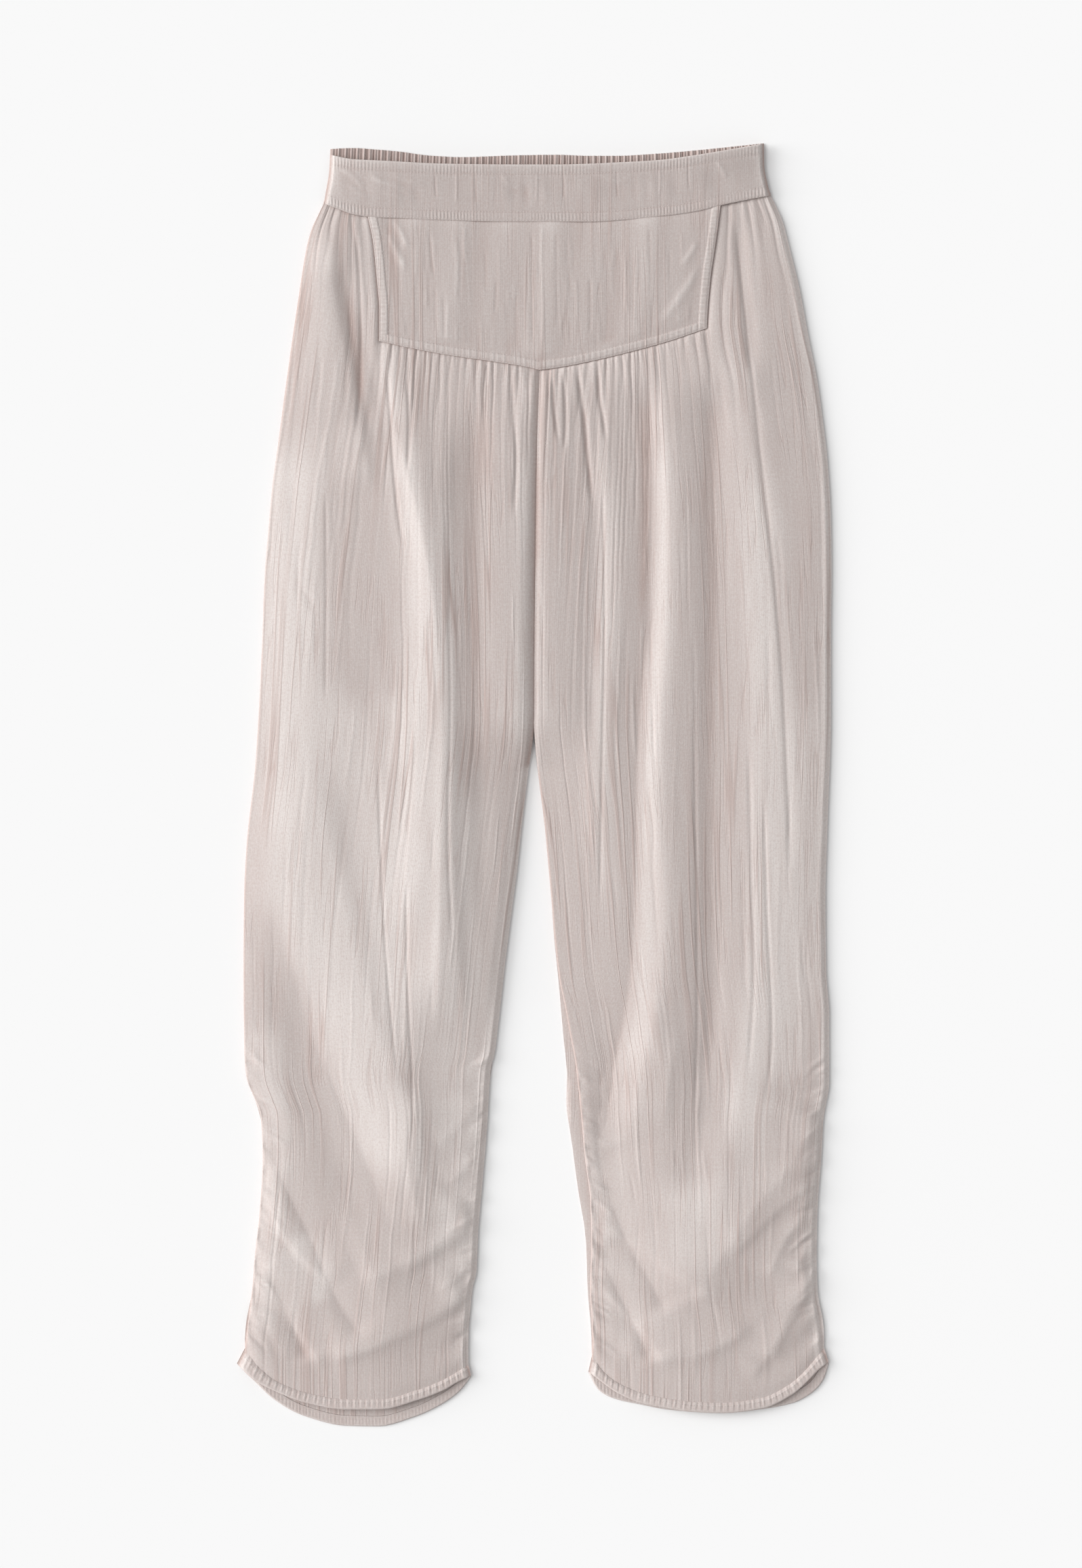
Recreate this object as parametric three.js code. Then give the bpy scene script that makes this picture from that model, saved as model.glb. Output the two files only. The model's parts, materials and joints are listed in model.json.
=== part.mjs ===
// Harem trousers in crinkled double gauze, laid flat on their back.
// Sizes are in millimetres: +X runs to the right seen from above, +Y to the waist, +Z up.
// Left and right are the sides seen from above. A wall of cloth has a top and an under face.
import * as THREE from 'three';

// Cloth, seams and layers
const cloth = 1.7;
const backCloth = 1.6;
const bandCloth = 2.3;
const hemCloth = 2.1;
const seamGap = 0.35;
const yokeGap = 0.55;
const layerGap = 0.32;
const backHemCloth = 2;
const elasticCloth = { low: 1.7, high: 2.9 };
const frontFloor = backCloth + layerGap;
const hemFloor = backHemCloth + layerGap;
const bandFloor = elasticCloth.high + layerGap;
const bandLift = 3.8;
const yokeTop = 6.4;
const bandSeamLift = 2;
const edgeRound = 0.7;
const middle = { x: -0.05, y: 1.49 };

// Levels down the legs, measured on the garment laid out
const levels = {
  gatherEnd: 225,
  crotch: 52,
  rucheTop: -206,
};
const counts = {
  yokeGathers: 18,
  sideGathers: 6,
  elasticRuches: 70,
  seamRuches: 10,
  bandColumns: 36,
  backColumns: 6,
  hemColumns: 24,
};

// A table has named columns and one row for each station, section or fold.
const table = (names, rows) => rows.map(
  (row) => Object.fromEntries(names.map((name, place) => [name, row[place]])),
);
const mix = (a, b, share) => a + (b - a) * share;
const clamp = (value, low, high) => Math.min(high, Math.max(low, value));
const ease = (value) => {
  const t = clamp(value, 0, 1);
  return t * t * (3 - 2 * t);
};
const roundRise = (value) => Math.sqrt(1 - (1 - clamp(value, 0, 1)) ** 2);
const uneven = (number, low, high) => {
  const turn = Math.sin(number * 12.9898 + 4.1) * 437.585;
  return mix(low, high, turn - Math.floor(turn));
};

// A smooth line through the rows of a table that never swings past them.
function through(rows, from, to) {
  const points = rows.map((row) => [row[from], row[to]]).sort((a, b) => a[0] - b[0]);
  const slopes = points.slice(1).map((p, i) => (p[1] - points[i][1]) / (p[0] - points[i][0]));
  const bends = points.map((p, i) => {
    if (i === 0 || i === points.length - 1) return slopes[Math.min(i, slopes.length - 1)];
    const [before, after] = [slopes[i - 1], slopes[i]];
    return before * after <= 0 ? 0 : (2 * before * after) / (before + after);
  });
  return (value) => {
    const at = clamp(value, points[0][0], points[points.length - 1][0]);
    let i = 0;
    while (i < points.length - 2 && at > points[i + 1][0]) i += 1;
    const span = points[i + 1][0] - points[i][0];
    const t = (at - points[i][0]) / span;
    const [a, b] = [points[i][1], points[i + 1][1]];
    return a + t * t * (3 - 2 * t) * (b - a)
      + span * (t * (1 - t) ** 2 * bends[i] - t * t * (1 - t) * bends[i + 1]);
  };
}

// Waistband and yoke, each row a station along the seam
const bandLines = table(['x', 'seam', 'frontTop', 'backTop'], [
  [-161.5, 447.5, 486.5, 489.5],
  [-150, 443, 483.2, 490.2],
  [-139, 439, 481, 490.6],
  [-124, 436.7, 480, 489.6],
  [-105, 435.8, 479, 488],
  [-80, 434.6, 477.6, 484.8],
  [-55, 433.9, 477, 483.6],
  [-17, 433.2, 476.6, 484.9],
  [17, 433.2, 476.6, 485.4],
  [42, 433, 477.2, 484.6],
  [62, 434, 478.1, 484.6],
  [95, 437.1, 480, 486.3],
  [122, 440.7, 483.6, 488.6],
  [148, 446.9, 488, 491.2],
  [181.5, 453.7, 494.3, 494.8],
]);
const bandEnds = table(['share', 'left', 'right'], [
  [0, -161.5, 181.5],
  [0.25, -160, 179],
  [0.6, -157.6, 176.6],
  [1, -156.6, 176.4],
]);
const yokeSides = table(['y', 'left', 'right'], [
  [450, -129.6, 143.6],
  [437, -127.4, 142],
  [419, -123.8, 139.6],
  [390, -120.8, 135.4],
  [365, -118.9, 133.2],
  [341, -119.1, 132],
]);
const yokeHem = table(['x', 'y'], [
  [-119.1, 341.6],
  [-93, 335.8],
  [-68, 331.2],
  [-30, 325.6],
  [-5, 321.6],
  [4.2, 319.3],
  [22, 321.8],
  [49, 327.3],
  [75, 333.6],
  [102, 341],
  [132.1, 351.3],
]);
const yokePoint = 4.2;
const yokeBorder = { width: 7, rise: 0.5 };

const seamOfBand = through(bandLines, 'x', 'seam');
const yokeLeft = through(yokeSides, 'y', 'left');
const yokeRight = through(yokeSides, 'y', 'right');
const yokeBottom = (x) => (x < yokePoint
  ? through(yokeHem.filter((row) => row.x <= yokePoint), 'x', 'y')(x)
  : through(yokeHem.filter((row) => row.x >= yokePoint), 'x', 'y')(x));

// Edges of the left leg, from the waistband down to the hem
const leftOuter = table(['y', 'x'], [
  [448, -161.6],
  [439, -166],
  [428, -171],
  [414, -174.8],
  [376, -181],
  [312, -190.3],
  [269, -196],
  [233, -201],
  [196, -204.4],
  [163, -207],
  [89, -210],
  [18, -214.2],
  [-46, -221],
  [-84, -222.8],
  [-139, -223.3],
  [-206, -222.6],
  [-223, -221],
  [-241, -214.2],
  [-251, -210.3],
  [-284, -208.6],
  [-327, -211],
  [-362, -214.8],
  [-388, -216.8],
  [-414, -220],
  [-431, -222.2],
]);
const leftInner = table(['y', 'x'], [
  [322, 4],
  [265, 1.6],
  [187, 0.4],
  [83, -0.6],
  [52, -0.9],
  [28, -2.6],
  [3, -5.7],
  [-28, -9.4],
  [-62, -13],
  [-98, -17.7],
  [-140, -22.9],
  [-182, -27.6],
  [-206, -30.7],
  [-216, -33.3],
  [-263, -36.4],
  [-306, -40],
  [-344, -43.2],
  [-372, -44.4],
  [-385, -47.3],
  [-396, -48.6],
  [-435, -51],
  [-444, -50.6],
]);

// Edges of the right leg: its front stops short of the back along the lower inseam.
const rightInner = table(['y', 'x'], [
  [322, 4],
  [265, 1.6],
  [187, 0.4],
  [83, -0.6],
  [52, -0.6],
  [28, 1],
  [0, 4.2],
  [-28, 7.8],
  [-56, 10.4],
  [-91, 13.5],
  [-114, 15.3],
  [-150, 19.6],
  [-166, 23],
  [-191, 27.6],
  [-210, 31.2],
  [-247, 35.4],
  [-283, 38.6],
  [-320, 43],
  [-353, 43.8],
  [-385, 42.8],
  [-424, 44.6],
  [-437, 44.2],
]);
const rightInnerBack = table(['y', 'x'], [
  [322, 4],
  [265, 1.6],
  [187, 0.4],
  [83, -0.6],
  [52, -0.6],
  [28, 1],
  [0, 4.2],
  [-28, 7.8],
  [-56, 10.4],
  [-91, 13.5],
  [-114, 15.1],
  [-150, 18.7],
  [-197, 22.9],
  [-221, 25.3],
  [-242, 24.7],
  [-271, 28.6],
  [-310, 33.8],
  [-349, 39.8],
  [-385, 41],
  [-424, 43.6],
  [-437, 42.6],
]);
const rightOuter = table(['y', 'x'], [
  [454, 181.6],
  [446, 185.6],
  [434, 190.8],
  [414, 196],
  [382, 203.8],
  [343, 211.1],
  [315, 216.8],
  [282, 221.5],
  [250, 225.2],
  [204, 227.8],
  [167, 228.3],
  [111, 227.8],
  [54, 227.8],
  [-28, 225.2],
  [-84, 223.6],
  [-140, 224.1],
  [-176, 226.5],
  [-226, 226.5],
  [-256, 222],
  [-284, 220.5],
  [-327, 217.4],
  [-360, 216.8],
  [-392, 217.9],
  [-414, 221],
  [-431, 222.6],
]);

// Hems: the seam above the front hem, the front's edge and the back's edge
const leftHem = table(['seamX', 'seamY', 'edgeX', 'edgeY', 'backX', 'backY'], [
  [-222.2, -431, -228.3, -442.8, -228.3, -443.4],
  [-211, -445.5, -215.3, -454.7, -215.5, -456],
  [-196, -456.6, -198, -463.8, -200, -470.5],
  [-174, -464.7, -175.5, -472.2, -178, -482.8],
  [-145, -469.4, -145, -477.4, -146, -490.7],
  [-117, -469.3, -117, -477.2, -120, -491.3],
  [-91, -463, -90.5, -470.7, -92, -484],
  [-72, -456, -71, -463.7, -72, -474.8],
  [-60, -449.5, -58.2, -456.6, -58, -464.8],
  [-50.6, -443.6, -48.4, -452.1, -48.6, -453.4],
]);
const rightHem = table(['seamX', 'seamY', 'edgeX', 'edgeY', 'backX', 'backY'], [
  [44.2, -437, 41.6, -449, 41.6, -449.6],
  [54, -449.6, 52.5, -457.4, 49.6, -463.4],
  [66, -458.2, 65, -465.7, 61.5, -470],
  [83, -465, 82, -472.7, 81.1, -474.4],
  [103, -469, 102, -476.5, 102, -478.4],
  [122, -471.3, 121, -479.2, 122, -480.2],
  [145, -472, 145, -480.2, 145, -481.2],
  [175, -468.5, 176, -476.6, 177, -477.8],
  [195, -459, 198, -466.3, 199, -473.2],
  [206.5, -449.4, 210.4, -455.6, 214.6, -464.4],
  [214.5, -440.4, 218.4, -447.4, 222, -455.4],
  [222.6, -431, 226, -441.6, 226.2, -443.6],
]);

// How the legs swell between their edges, down the garment
const leftSwell = table(['y', 'rise', 'outerRound', 'innerRound'], [
  [450, 1.2, 10, 8],
  [400, 3.4, 24, 16],
  [312, 5.4, 36, 18],
  [200, 7, 42, 18],
  [52, 8.4, 44, 20],
  [-100, 9.4, 46, 24],
  [-206, 9.4, 30, 26],
  [-300, 8.6, 20, 22],
  [-400, 7, 15, 16],
  [-450, 4.6, 10, 10],
]);
const rightSwell = table(['y', 'rise', 'outerRound', 'innerRound'], [
  [455, 1.2, 10, 8],
  [400, 3.4, 20, 16],
  [312, 5.4, 26, 18],
  [200, 7, 34, 18],
  [52, 8.4, 36, 22],
  [-100, 9.2, 36, 30],
  [-206, 9.2, 30, 24],
  [-300, 8.6, 24, 18],
  [-400, 7, 18, 15],
  [-450, 4.6, 10, 10],
]);

// Largest folds. A path is walked down the leg or across it from left to right;
// rise is its height, or its depth where it is below nought.
const foldColumns = ['path', 'rise', 'rightHand', 'leftHand', 'fade'];
const leftFolds = table(foldColumns, [
  [[[-159, 436], [-157, 395], [-150, 349], [-140, 307], [-134, 266], [-126, 219]], 5.4, 20, 8, 30],
  [[[-141, 400], [-132, 349], [-121, 307], [-112, 266], [-107, 235]], -3.4, 6, 6, 30],
  [[[-107, 333], [-99, 292], [-91, 240], [-85, 188], [-83, 136], [-86, 84], [-90, 32],
    [-91, -46], [-98, -124]], 4, 13, 13, 40],
  [[[-69, 300], [-69, 240], [-71, 188], [-69, 136], [-66, 84], [-64, -46], [-60, -124],
    [-54, -192]], 4.6, 26, 11, 50],
  [[[-45, 312], [-46, 188], [-43, 84], [-41, -46], [-38, -124]], -2.6, 8, 8, 50],
  [[[-22, 300], [-22, 188], [-21, 84], [-22, 0]], 2, 13, 13, 50],
  [[[-181, 32], [-165, -20], [-152, -72], [-139, -124], [-126, -176], [-106, -228],
    [-92, -280], [-80, -327]], 5, 24, 32, 60],
  [[[-208, -72], [-194, -150], [-173, -228], [-150, -291], [-126, -348]], -4, 18, 14, 50],
  [[[-204, -301], [-176, -338], [-150, -379], [-132, -396], [-113, -379], [-77, -356],
    [-46, -327]], 3.6, 9, 9, 14],
  [[[-206, -329], [-186, -356], [-163, -390], [-142, -412]], -2.2, 6, 6, 14],
  [[[-210, -366], [-186, -400], [-163, -429], [-137, -447], [-103, -424], [-72, -400],
    [-47, -369]], 3.4, 7, 8, 14],
  [[[-212, -385], [-194, -412], [-178, -436], [-165, -450]], -2.6, 5, 5, 12],
]);
const rightFolds = table(foldColumns, [
  [[[47, 312], [50, 266], [58, 208], [61, 162], [57, 110], [50, 32], [44, -72]], 3, 9, 13, 50],
  [[[97, 323], [102, 266], [105, 188], [102, 110], [97, 42], [97, -20], [102, -98], [96, -166],
    [82, -228], [71, -280]], 5, 9, 16, 40],
  [[[139, 333], [136, 240], [137, 162], [136, 84], [134, 6], [134, -98], [134, -187],
    [121, -249]], -3.6, 9, 9, 50],
  [[[154, 359], [160, 281], [167, 188], [175, 84], [175, -20], [173, -124], [167, -202],
    [152, -280], [134, -348]], 4.6, 16, 32, 50],
  [[[156, 440], [160, 396], [164, 359], [168, 312]], -4, 5, 5, 25],
  [[[168, 312], [175, 240], [188, 136], [195, 6], [198, -72]], -1.4, 4, 4, 40],
  [[[48, -317], [71, -335], [92, -364], [113, -387], [141, -377], [167, -351], [193, -322],
    [217, -288]], 3.6, 9, 9, 14],
  [[[49, -334], [71, -353], [87, -373]], -2.4, 5, 5, 12],
  [[[44, -369], [69, -400], [97, -429], [126, -442], [154, -436], [178, -416], [196, -382],
    [214, -348]], 3.4, 8, 8, 14],
  [[[48, -386], [71, -414], [97, -441]], -2.6, 5, 5, 12],
  [[[214, -382], [196, -408], [183, -436]], -3, 6, 6, 14],
]);

// The height that the folds add at a place: each is a soft bank with its own two flanks.
function foldRise(folds, x, y) {
  let sum = 0;
  for (const fold of folds) {
    let nearest = { gap: Infinity };
    let walked = 0;
    fold.path.slice(1).forEach((end, i) => {
      const start = fold.path[i];
      const run = [end[0] - start[0], end[1] - start[1]];
      const length = Math.hypot(...run);
      const away = [x - start[0], y - start[1]];
      const t = clamp((away[0] * run[0] + away[1] * run[1]) / length ** 2, 0, 1);
      const gap = Math.hypot(away[0] - run[0] * t, away[1] - run[1] * t);
      if (gap < nearest.gap) {
        const side = run[0] * away[1] - run[1] * away[0];
        nearest = { gap, side, along: walked + length * t };
      }
      walked += length;
    });
    const flank = nearest.side < 0 ? fold.rightHand : fold.leftHand;
    const ends = ease(nearest.along / fold.fade) * ease((walked - nearest.along) / fold.fade);
    sum += fold.rise * ends * Math.exp(-((nearest.gap / flank) ** 2));
  }
  return sum;
}

// A closed wall of cloth from stations that each hold a top and an under point.
function clothWall(stations, faces) {
  const count = stations.length;
  const positions = [...stations.map((s) => s.top), ...stations.map((s) => s.under)].flat();
  const index = faces.flatMap(([a, b, c]) => [a, b, c, c + count, b + count, a + count]);
  const rim = new Map();
  for (const [a, b, c] of faces) {
    for (const [from, to] of [[a, b], [b, c], [c, a]]) {
      if (!rim.delete(`${to} ${from}`)) rim.set(`${from} ${to}`, [from, to]);
    }
  }
  for (const [from, to] of rim.values()) {
    index.push(to, from, from + count, to, from + count, to + count);
  }
  const geometry = new THREE.BufferGeometry();
  geometry.setAttribute('position', new THREE.Float32BufferAttribute(positions, 3));
  geometry.setIndex(index);
  geometry.computeVertexNormals();
  return geometry;
}

// How sharply two faces meet: nought where they lie in one plane
function creaseAcross(stations, first, second) {
  const normal = (face) => {
    const [a, b, c] = face.map((number) => new THREE.Vector3(...stations[number].top));
    return b.sub(a).cross(c.sub(a)).normalize();
  };
  return 1 - normal(first).dot(normal(second));
}

// Joins rows that run from left to right. A row may skip columns, or hold only some of them.
// Each four-sided mesh is split along the diagonal that follows its fold, or the way the
// lower leg's swags hang: falling in the left half and rising in the right.
function wallOfRows(rows) {
  const stations = [];
  const faces = [];
  const numbered = rows.map((row) => row.map((station) => {
    stations.push(station);
    return { column: station.column, number: stations.length - 1, falls: station.falls };
  }));
  numbered.slice(1).forEach((lower, place) => {
    const upper = numbered[place];
    const first = Math.max(upper[0].column, lower[0].column);
    const last = Math.min(upper[upper.length - 1].column, lower[lower.length - 1].column);
    const above = upper.filter((s) => s.column >= first && s.column <= last);
    const below = lower.filter((s) => s.column >= first && s.column <= last);
    let [i, j] = [0, 0];
    while (i < above.length - 1 || j < below.length - 1) {
      const [a, b] = [above[i].number, below[j].number];
      const [nextA, nextB] = [above[i + 1], below[j + 1]];
      const level = nextA && nextB && nextA.column === nextB.column;
      if (level) {
        const [c, d] = [nextB.number, nextA.number];
        const falling = creaseAcross(stations, [a, b, c], [a, c, d]);
        const rising = creaseAcross(stations, [a, b, d], [b, c, d]);
        const falls = below[j].falls ?? falling <= rising;
        faces.push(...(falls ? [[a, b, c], [a, c, d]] : [[a, b, d], [b, c, d]]));
        i += 1;
        j += 1;
      } else if (!nextA || (nextB && nextB.column < nextA.column)) {
        faces.push([a, b, nextB.number]);
        j += 1;
      } else {
        faces.push([a, b, nextA.number]);
        i += 1;
      }
    }
  });
  return clothWall(stations, faces);
}

const fabric = new THREE.MeshStandardMaterial({ color: '#d6ccc8', roughness: 0.95, metalness: 0 });
const trousers = new THREE.Group();
function addPiece(name, geometry) {
  const piece = new THREE.Mesh(geometry, fabric.clone());
  piece.name = name;
  piece.position.set(-middle.x, -middle.y, 0);
  trousers.add(piece);
}
const shares = (count) => Array.from({ length: count + 1 }, (_, i) => i / count);

// Where gathers lie along a seam: uneven steps that still fill it from end to end
function gatherShares(count, seed) {
  const steps = Array.from({ length: count * 2 }, (_, i) => uneven(i + seed, 0.7, 1.3));
  const total = steps.reduce((sum, step) => sum + step, 0);
  let reached = 0;
  return [0, ...steps.map((step) => {
    reached += step;
    return reached / total;
  })];
}

const legs = [
  {
    name: 'left', left: leftOuter, right: leftInner, backRight: leftInner, hem: leftHem,
    swell: leftSwell, folds: leftFolds, outerIsLeft: true,
  },
  {
    name: 'right', left: rightInner, right: rightOuter, backLeft: rightInnerBack, hem: rightHem,
    swell: rightSwell, folds: rightFolds, outerIsLeft: false,
  },
];

// The column shares of a front leg: gathers at the top, even steps lower down
function legColumns(leg) {
  const side = gatherShares(counts.sideGathers, 3);
  const yoke = gatherShares(counts.yokeGathers, leg.outerIsLeft ? 20 : 70);
  const last = (side.length - 1) + (yoke.length - 1);
  const even = shares(last).map((t) => t - (0.72 * Math.sin(2 * Math.PI * t)) / (2 * Math.PI));
  const split = leg.outerIsLeft ? side.length - 1 : yoke.length - 1;
  return { side, yoke, last, even, split };
}

function frontLeg(leg) {
  const { side, yoke, last, even, split } = legColumns(leg);
  const leftEdge = through(leg.left, 'y', 'x');
  const rightEdge = through(leg.right, 'y', 'x');
  const innerSign = leg.outerIsLeft ? -1 : 1;
  const innerGap = (y) => (y > levels.crotch ? innerSign * (seamGap / 2) : 0);
  const west = (y) => leftEdge(y) + (leg.outerIsLeft ? 0 : innerGap(y));
  const east = (y) => rightEdge(y) + (leg.outerIsLeft ? innerGap(y) : 0);
  const yokeSide = (y) => (leg.outerIsLeft ? yokeLeft(y) - yokeGap : yokeRight(y) + yokeGap);
  const corner = (leg.outerIsLeft ? yokeHem[0].y : yokeHem[yokeHem.length - 1].y) - yokeGap;
  const onSide = (column) => (leg.outerIsLeft ? column <= split : column >= split);
  const swell = {
    rise: through(leg.swell, 'y', 'rise'),
    outer: through(leg.swell, 'y', 'outerRound'),
    inner: through(leg.swell, 'y', 'innerRound'),
  };

  // A station of the wall. Away from its seams the cloth swells, folds and gathers.
  function station(column, x, y, fromSeam, wave, ruche) {
    const [l, r] = [west(y), east(y)];
    const [toOuter, toInner] = leg.outerIsLeft ? [x - l, r - x] : [r - x, x - l];
    const open = ease((levels.crotch + 10 - y) / 50);
    const roll = { left: leg.outerIsLeft ? 1 : open, right: leg.outerIsLeft ? open : 1 };
    const toEdge = [toOuter, toInner].map((d) => clamp(d, 0, 400));
    const rolled = Math.max(
      (1 - ease(toEdge[0] / 4)),
      open * (1 - ease(toEdge[1] / 4)),
    );
    const round = roundRise(toEdge[0] / swell.outer(y)) * roundRise(toEdge[1] / swell.inner(y));
    const seamRise = 0.3 + 0.7 * roundRise(fromSeam / 45);
    const foldShare = ease(Math.min(toEdge[0], toEdge[1]) / 12) * (0.4 + 0.6 * seamRise);
    const lift = swell.rise(y) * round * seamRise + foldRise(leg.folds, x, y) * foldShare;
    const nearEdge = Math.min(toEdge[0] + 400 * (y > levels.rucheTop), toEdge[1]);
    const puckers = ruche * Math.exp(-nearEdge / 16) * ease(nearEdge / 3 + 0.15);
    const height = Math.max(lift + puckers + 1.6 + wave, 0.15 * Math.max(lift, 0)) * (1 - rolled);
    const bottom = frontFloor + Math.max(height, 0);
    const thickness = cloth * (1 - rolled);
    const edgeShare = clamp((x - l) / (r - l), 0, 1);
    const inset = cloth * (roll.left * (1 - edgeShare) ** 6 - roll.right * edgeShare ** 6);
    return { column, top: [x, y, bottom + thickness], under: [x + inset, y, bottom] };
  }

  const rows = [];
  const gatherWave = (column, distance) => {
    if (column === 0 || column === last) return 0;
    const size = uneven(column * 3 + 1, 0.7, 1.5);
    const reach = uneven(column * 5 + 2, 30, 80);
    const sign = column % 2 === 0 ? -1 : 1;
    return sign * size * (0.5 + 0.5 * ease(distance / 8)) * Math.exp(-((distance / reach) ** 2));
  };

  // Side part, from the waistband to the corner of the yoke
  for (const t of [0, 0.1, 0.24, 0.45, 0.7]) {
    rows.push(side.map((_, place) => {
      const column = leg.outerIsLeft ? place : split + place;
      const share = leg.outerIsLeft ? side[place] : 1 - side[side.length - 1 - place];
      const drop = (x) => mix(seamOfBand(x) - seamGap, corner, t);
      let x = leg.outerIsLeft ? -150 : 160;
      for (let turn = 0; turn < 4; turn += 1) {
        const y = drop(x);
        x = leg.outerIsLeft ? mix(west(y), yokeSide(y), share) : mix(yokeSide(y), east(y), share);
      }
      const y = drop(x);
      const distance = seamOfBand(x) - y;
      return station(column, x, y, distance, gatherWave(column, distance), 0);
    }));
  }

  // Gathered top row of the leg, along the yoke, and the rows that fan out below it
  const topX = even.map((_, column) => {
    if (onSide(column)) {
      const place = leg.outerIsLeft ? column : column - split;
      const share = leg.outerIsLeft ? side[place] : 1 - side[side.length - 1 - place];
      return leg.outerIsLeft ? mix(west(corner), yokeSide(corner), share)
        : mix(yokeSide(corner), east(corner), share);
    }
    const place = leg.outerIsLeft ? column - split : column;
    const share = yoke[place];
    return leg.outerIsLeft ? mix(yokeSide(corner), yokePoint - seamGap / 2, share)
      : mix(yokePoint + seamGap / 2, yokeSide(corner), share);
  });
  const topY = topX.map((x, column) => (onSide(column) ? corner : yokeBottom(x) - yokeGap));
  const widthAt = (y) => east(y) - west(y);
  const topShare = topX.map((x, column) => (x - west(topY[column])) / widthAt(topY[column]));
  const placeAt = (column, y) => {
    const spread = ease((corner - y) / (corner - 60));
    return mix(west(y), east(y), mix(topShare[column], even[column], spread));
  };
  for (const t of [0, 0.07, 0.18, 0.33, 0.53, 0.76]) {
    rows.push(even.map((_, column) => {
      const y = mix(topY[column], levels.gatherEnd, t);
      const x = t === 0 ? topX[column] : placeAt(column, y);
      const seam = onSide(column) ? seamOfBand(x) : topY[column];
      return station(column, x, y, seam - y, gatherWave(column, seam - y), 0);
    }));
  }

  // Every second column goes on down the thigh to where the ruching starts.
  const kept = even.map((_, column) => column).filter((column) => column % 2 === 0);
  for (const y of [levels.gatherEnd, 188, 150, 112, 80, levels.crotch, 28, -10, -50, -90, -130, -170]) {
    rows.push(kept.map((column) => station(column, placeAt(column, y), y, 200, 0, 0)));
  }

  // Ruched lower leg: a crest and a hollow for each ruche, down to the hem's seam
  const hem = hemCurves(leg);
  const rucheRows = counts.seamRuches * 2;
  for (let row = 0; row <= rucheRows; row += 1) {
    const t = row / rucheRows;
    const isHem = row === rucheRows;
    const sign = row % 2 === 0 ? -1 : 1;
    const ruche = isHem || row === 0 ? 0 : sign * uneven(row + 40, 0.9, 1.9);
    rows.push(kept.map((column) => {
      const share = even[column];
      const y = mix(levels.rucheTop, hem.seamY(share), t);
      const free = mix(west(y), east(y), share);
      const x = mix(free, hem.seamX(share), ease((t - 0.8) / 0.2));
      return { ...station(column, x, y, 200, 0, ruche), falls: share < 0.5 };
    }));
  }
  return rows;
}

// The hem turned up along a front leg: it follows the leg's last row, a little thicker.
function frontHem(leg, legRows) {
  const lastRow = legRows[legRows.length - 1];
  const at = hemCurves(leg);
  const [first, final] = [lastRow[0].top[0], lastRow[lastRow.length - 1].top[0]];
  const row = (down) => lastRow.map((above) => {
    const share = (above.top[0] - first) / (final - first);
    const x = mix(above.top[0], at.edgeX(share), down);
    const gap = seamGap * (1 + Math.abs(2 * share - 1) ** 4);
    const y = mix(above.top[1] - gap, at.edgeY(share), down);
    const rolled = 1 - (above.top[2] - above.under[2]) / cloth;
    const bottom = Math.max(above.under[2] - 0.1, hemFloor);
    const inset = above.under[0] - above.top[0];
    return {
      column: above.column,
      top: [x, y, bottom + hemCloth * (1 - rolled)],
      under: [x + inset, y, bottom],
    };
  });
  return wallOfRows([row(0), row(0.5), row(1)]);
}

function hemCurves(leg) {
  const [first, final] = [leg.hem[0], leg.hem[leg.hem.length - 1]];
  const rows = leg.hem.map((row) => ({
    ...row,
    share: (row.seamX - first.seamX) / (final.seamX - first.seamX),
    backSeamX: row.backX + row.seamX - row.edgeX,
    backSeamY: row.backY + row.seamY - row.edgeY,
  }));
  const names = Object.keys(rows[0]).filter((name) => name !== 'share');
  return Object.fromEntries(names.map((name) => [name, through(rows, 'share', name)]));
}

// Back of a leg: it lies flat, and its edges are the outline of the trousers.
function backLeg(leg) {
  const at = hemCurves(leg);
  const leftEdge = through(leg.backLeft ?? leg.left, 'y', 'x');
  const rightEdge = through(leg.backRight ?? leg.right, 'y', 'x');
  const gap = (y) => (y > levels.crotch ? seamGap / 2 : 0);
  const west = (y) => leftEdge(y) + (leg.outerIsLeft ? 0 : gap(y));
  const east = (y) => rightEdge(y) - (leg.outerIsLeft ? gap(y) : 0);
  const columns = shares(counts.hemColumns).map((share, column) => ({ share, column }));
  const rows = [];
  const addRow = (heightAt, hemShare, apart) => rows.push(columns.filter(
    ({ column }) => column % apart === 0,
  ).map(({ share, column }) => {
    let [x, y] = [0, 0];
    for (let turn = 0; turn < 5; turn += 1) {
      y = heightAt(x, share);
      x = mix(mix(west(y), east(y), share), at.backSeamX(share), hemShare);
    }
    const under = edgeRound * ((1 - share) ** 8 - share ** 8);
    return { column, top: [x, y, backCloth], under: [x + under, y, 0] };
  }));
  const wide = counts.hemColumns / counts.backColumns;
  addRow((x) => seamOfBand(x) - 2 * seamGap, 0, 1);
  for (const t of [0.3, 0.65]) addRow((x) => mix(seamOfBand(x), 376, t), 0, wide);
  const thigh = [376, 340, 300, 255, 205, 150, 100, levels.crotch, 20, -20, -60, -100, -150];
  for (const y of thigh) addRow(() => y, 0, wide);
  const lowerRows = counts.seamRuches * 2;
  for (let row = 0; row <= lowerRows; row += 1) {
    const t = row / lowerRows;
    const apart = row === lowerRows ? 1 : wide;
    const height = (x, share) => mix(levels.rucheTop, at.backSeamY(share), t);
    addRow(height, ease((t - 0.85) / 0.15), apart);
  }
  return wallOfRows(rows);
}

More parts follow.
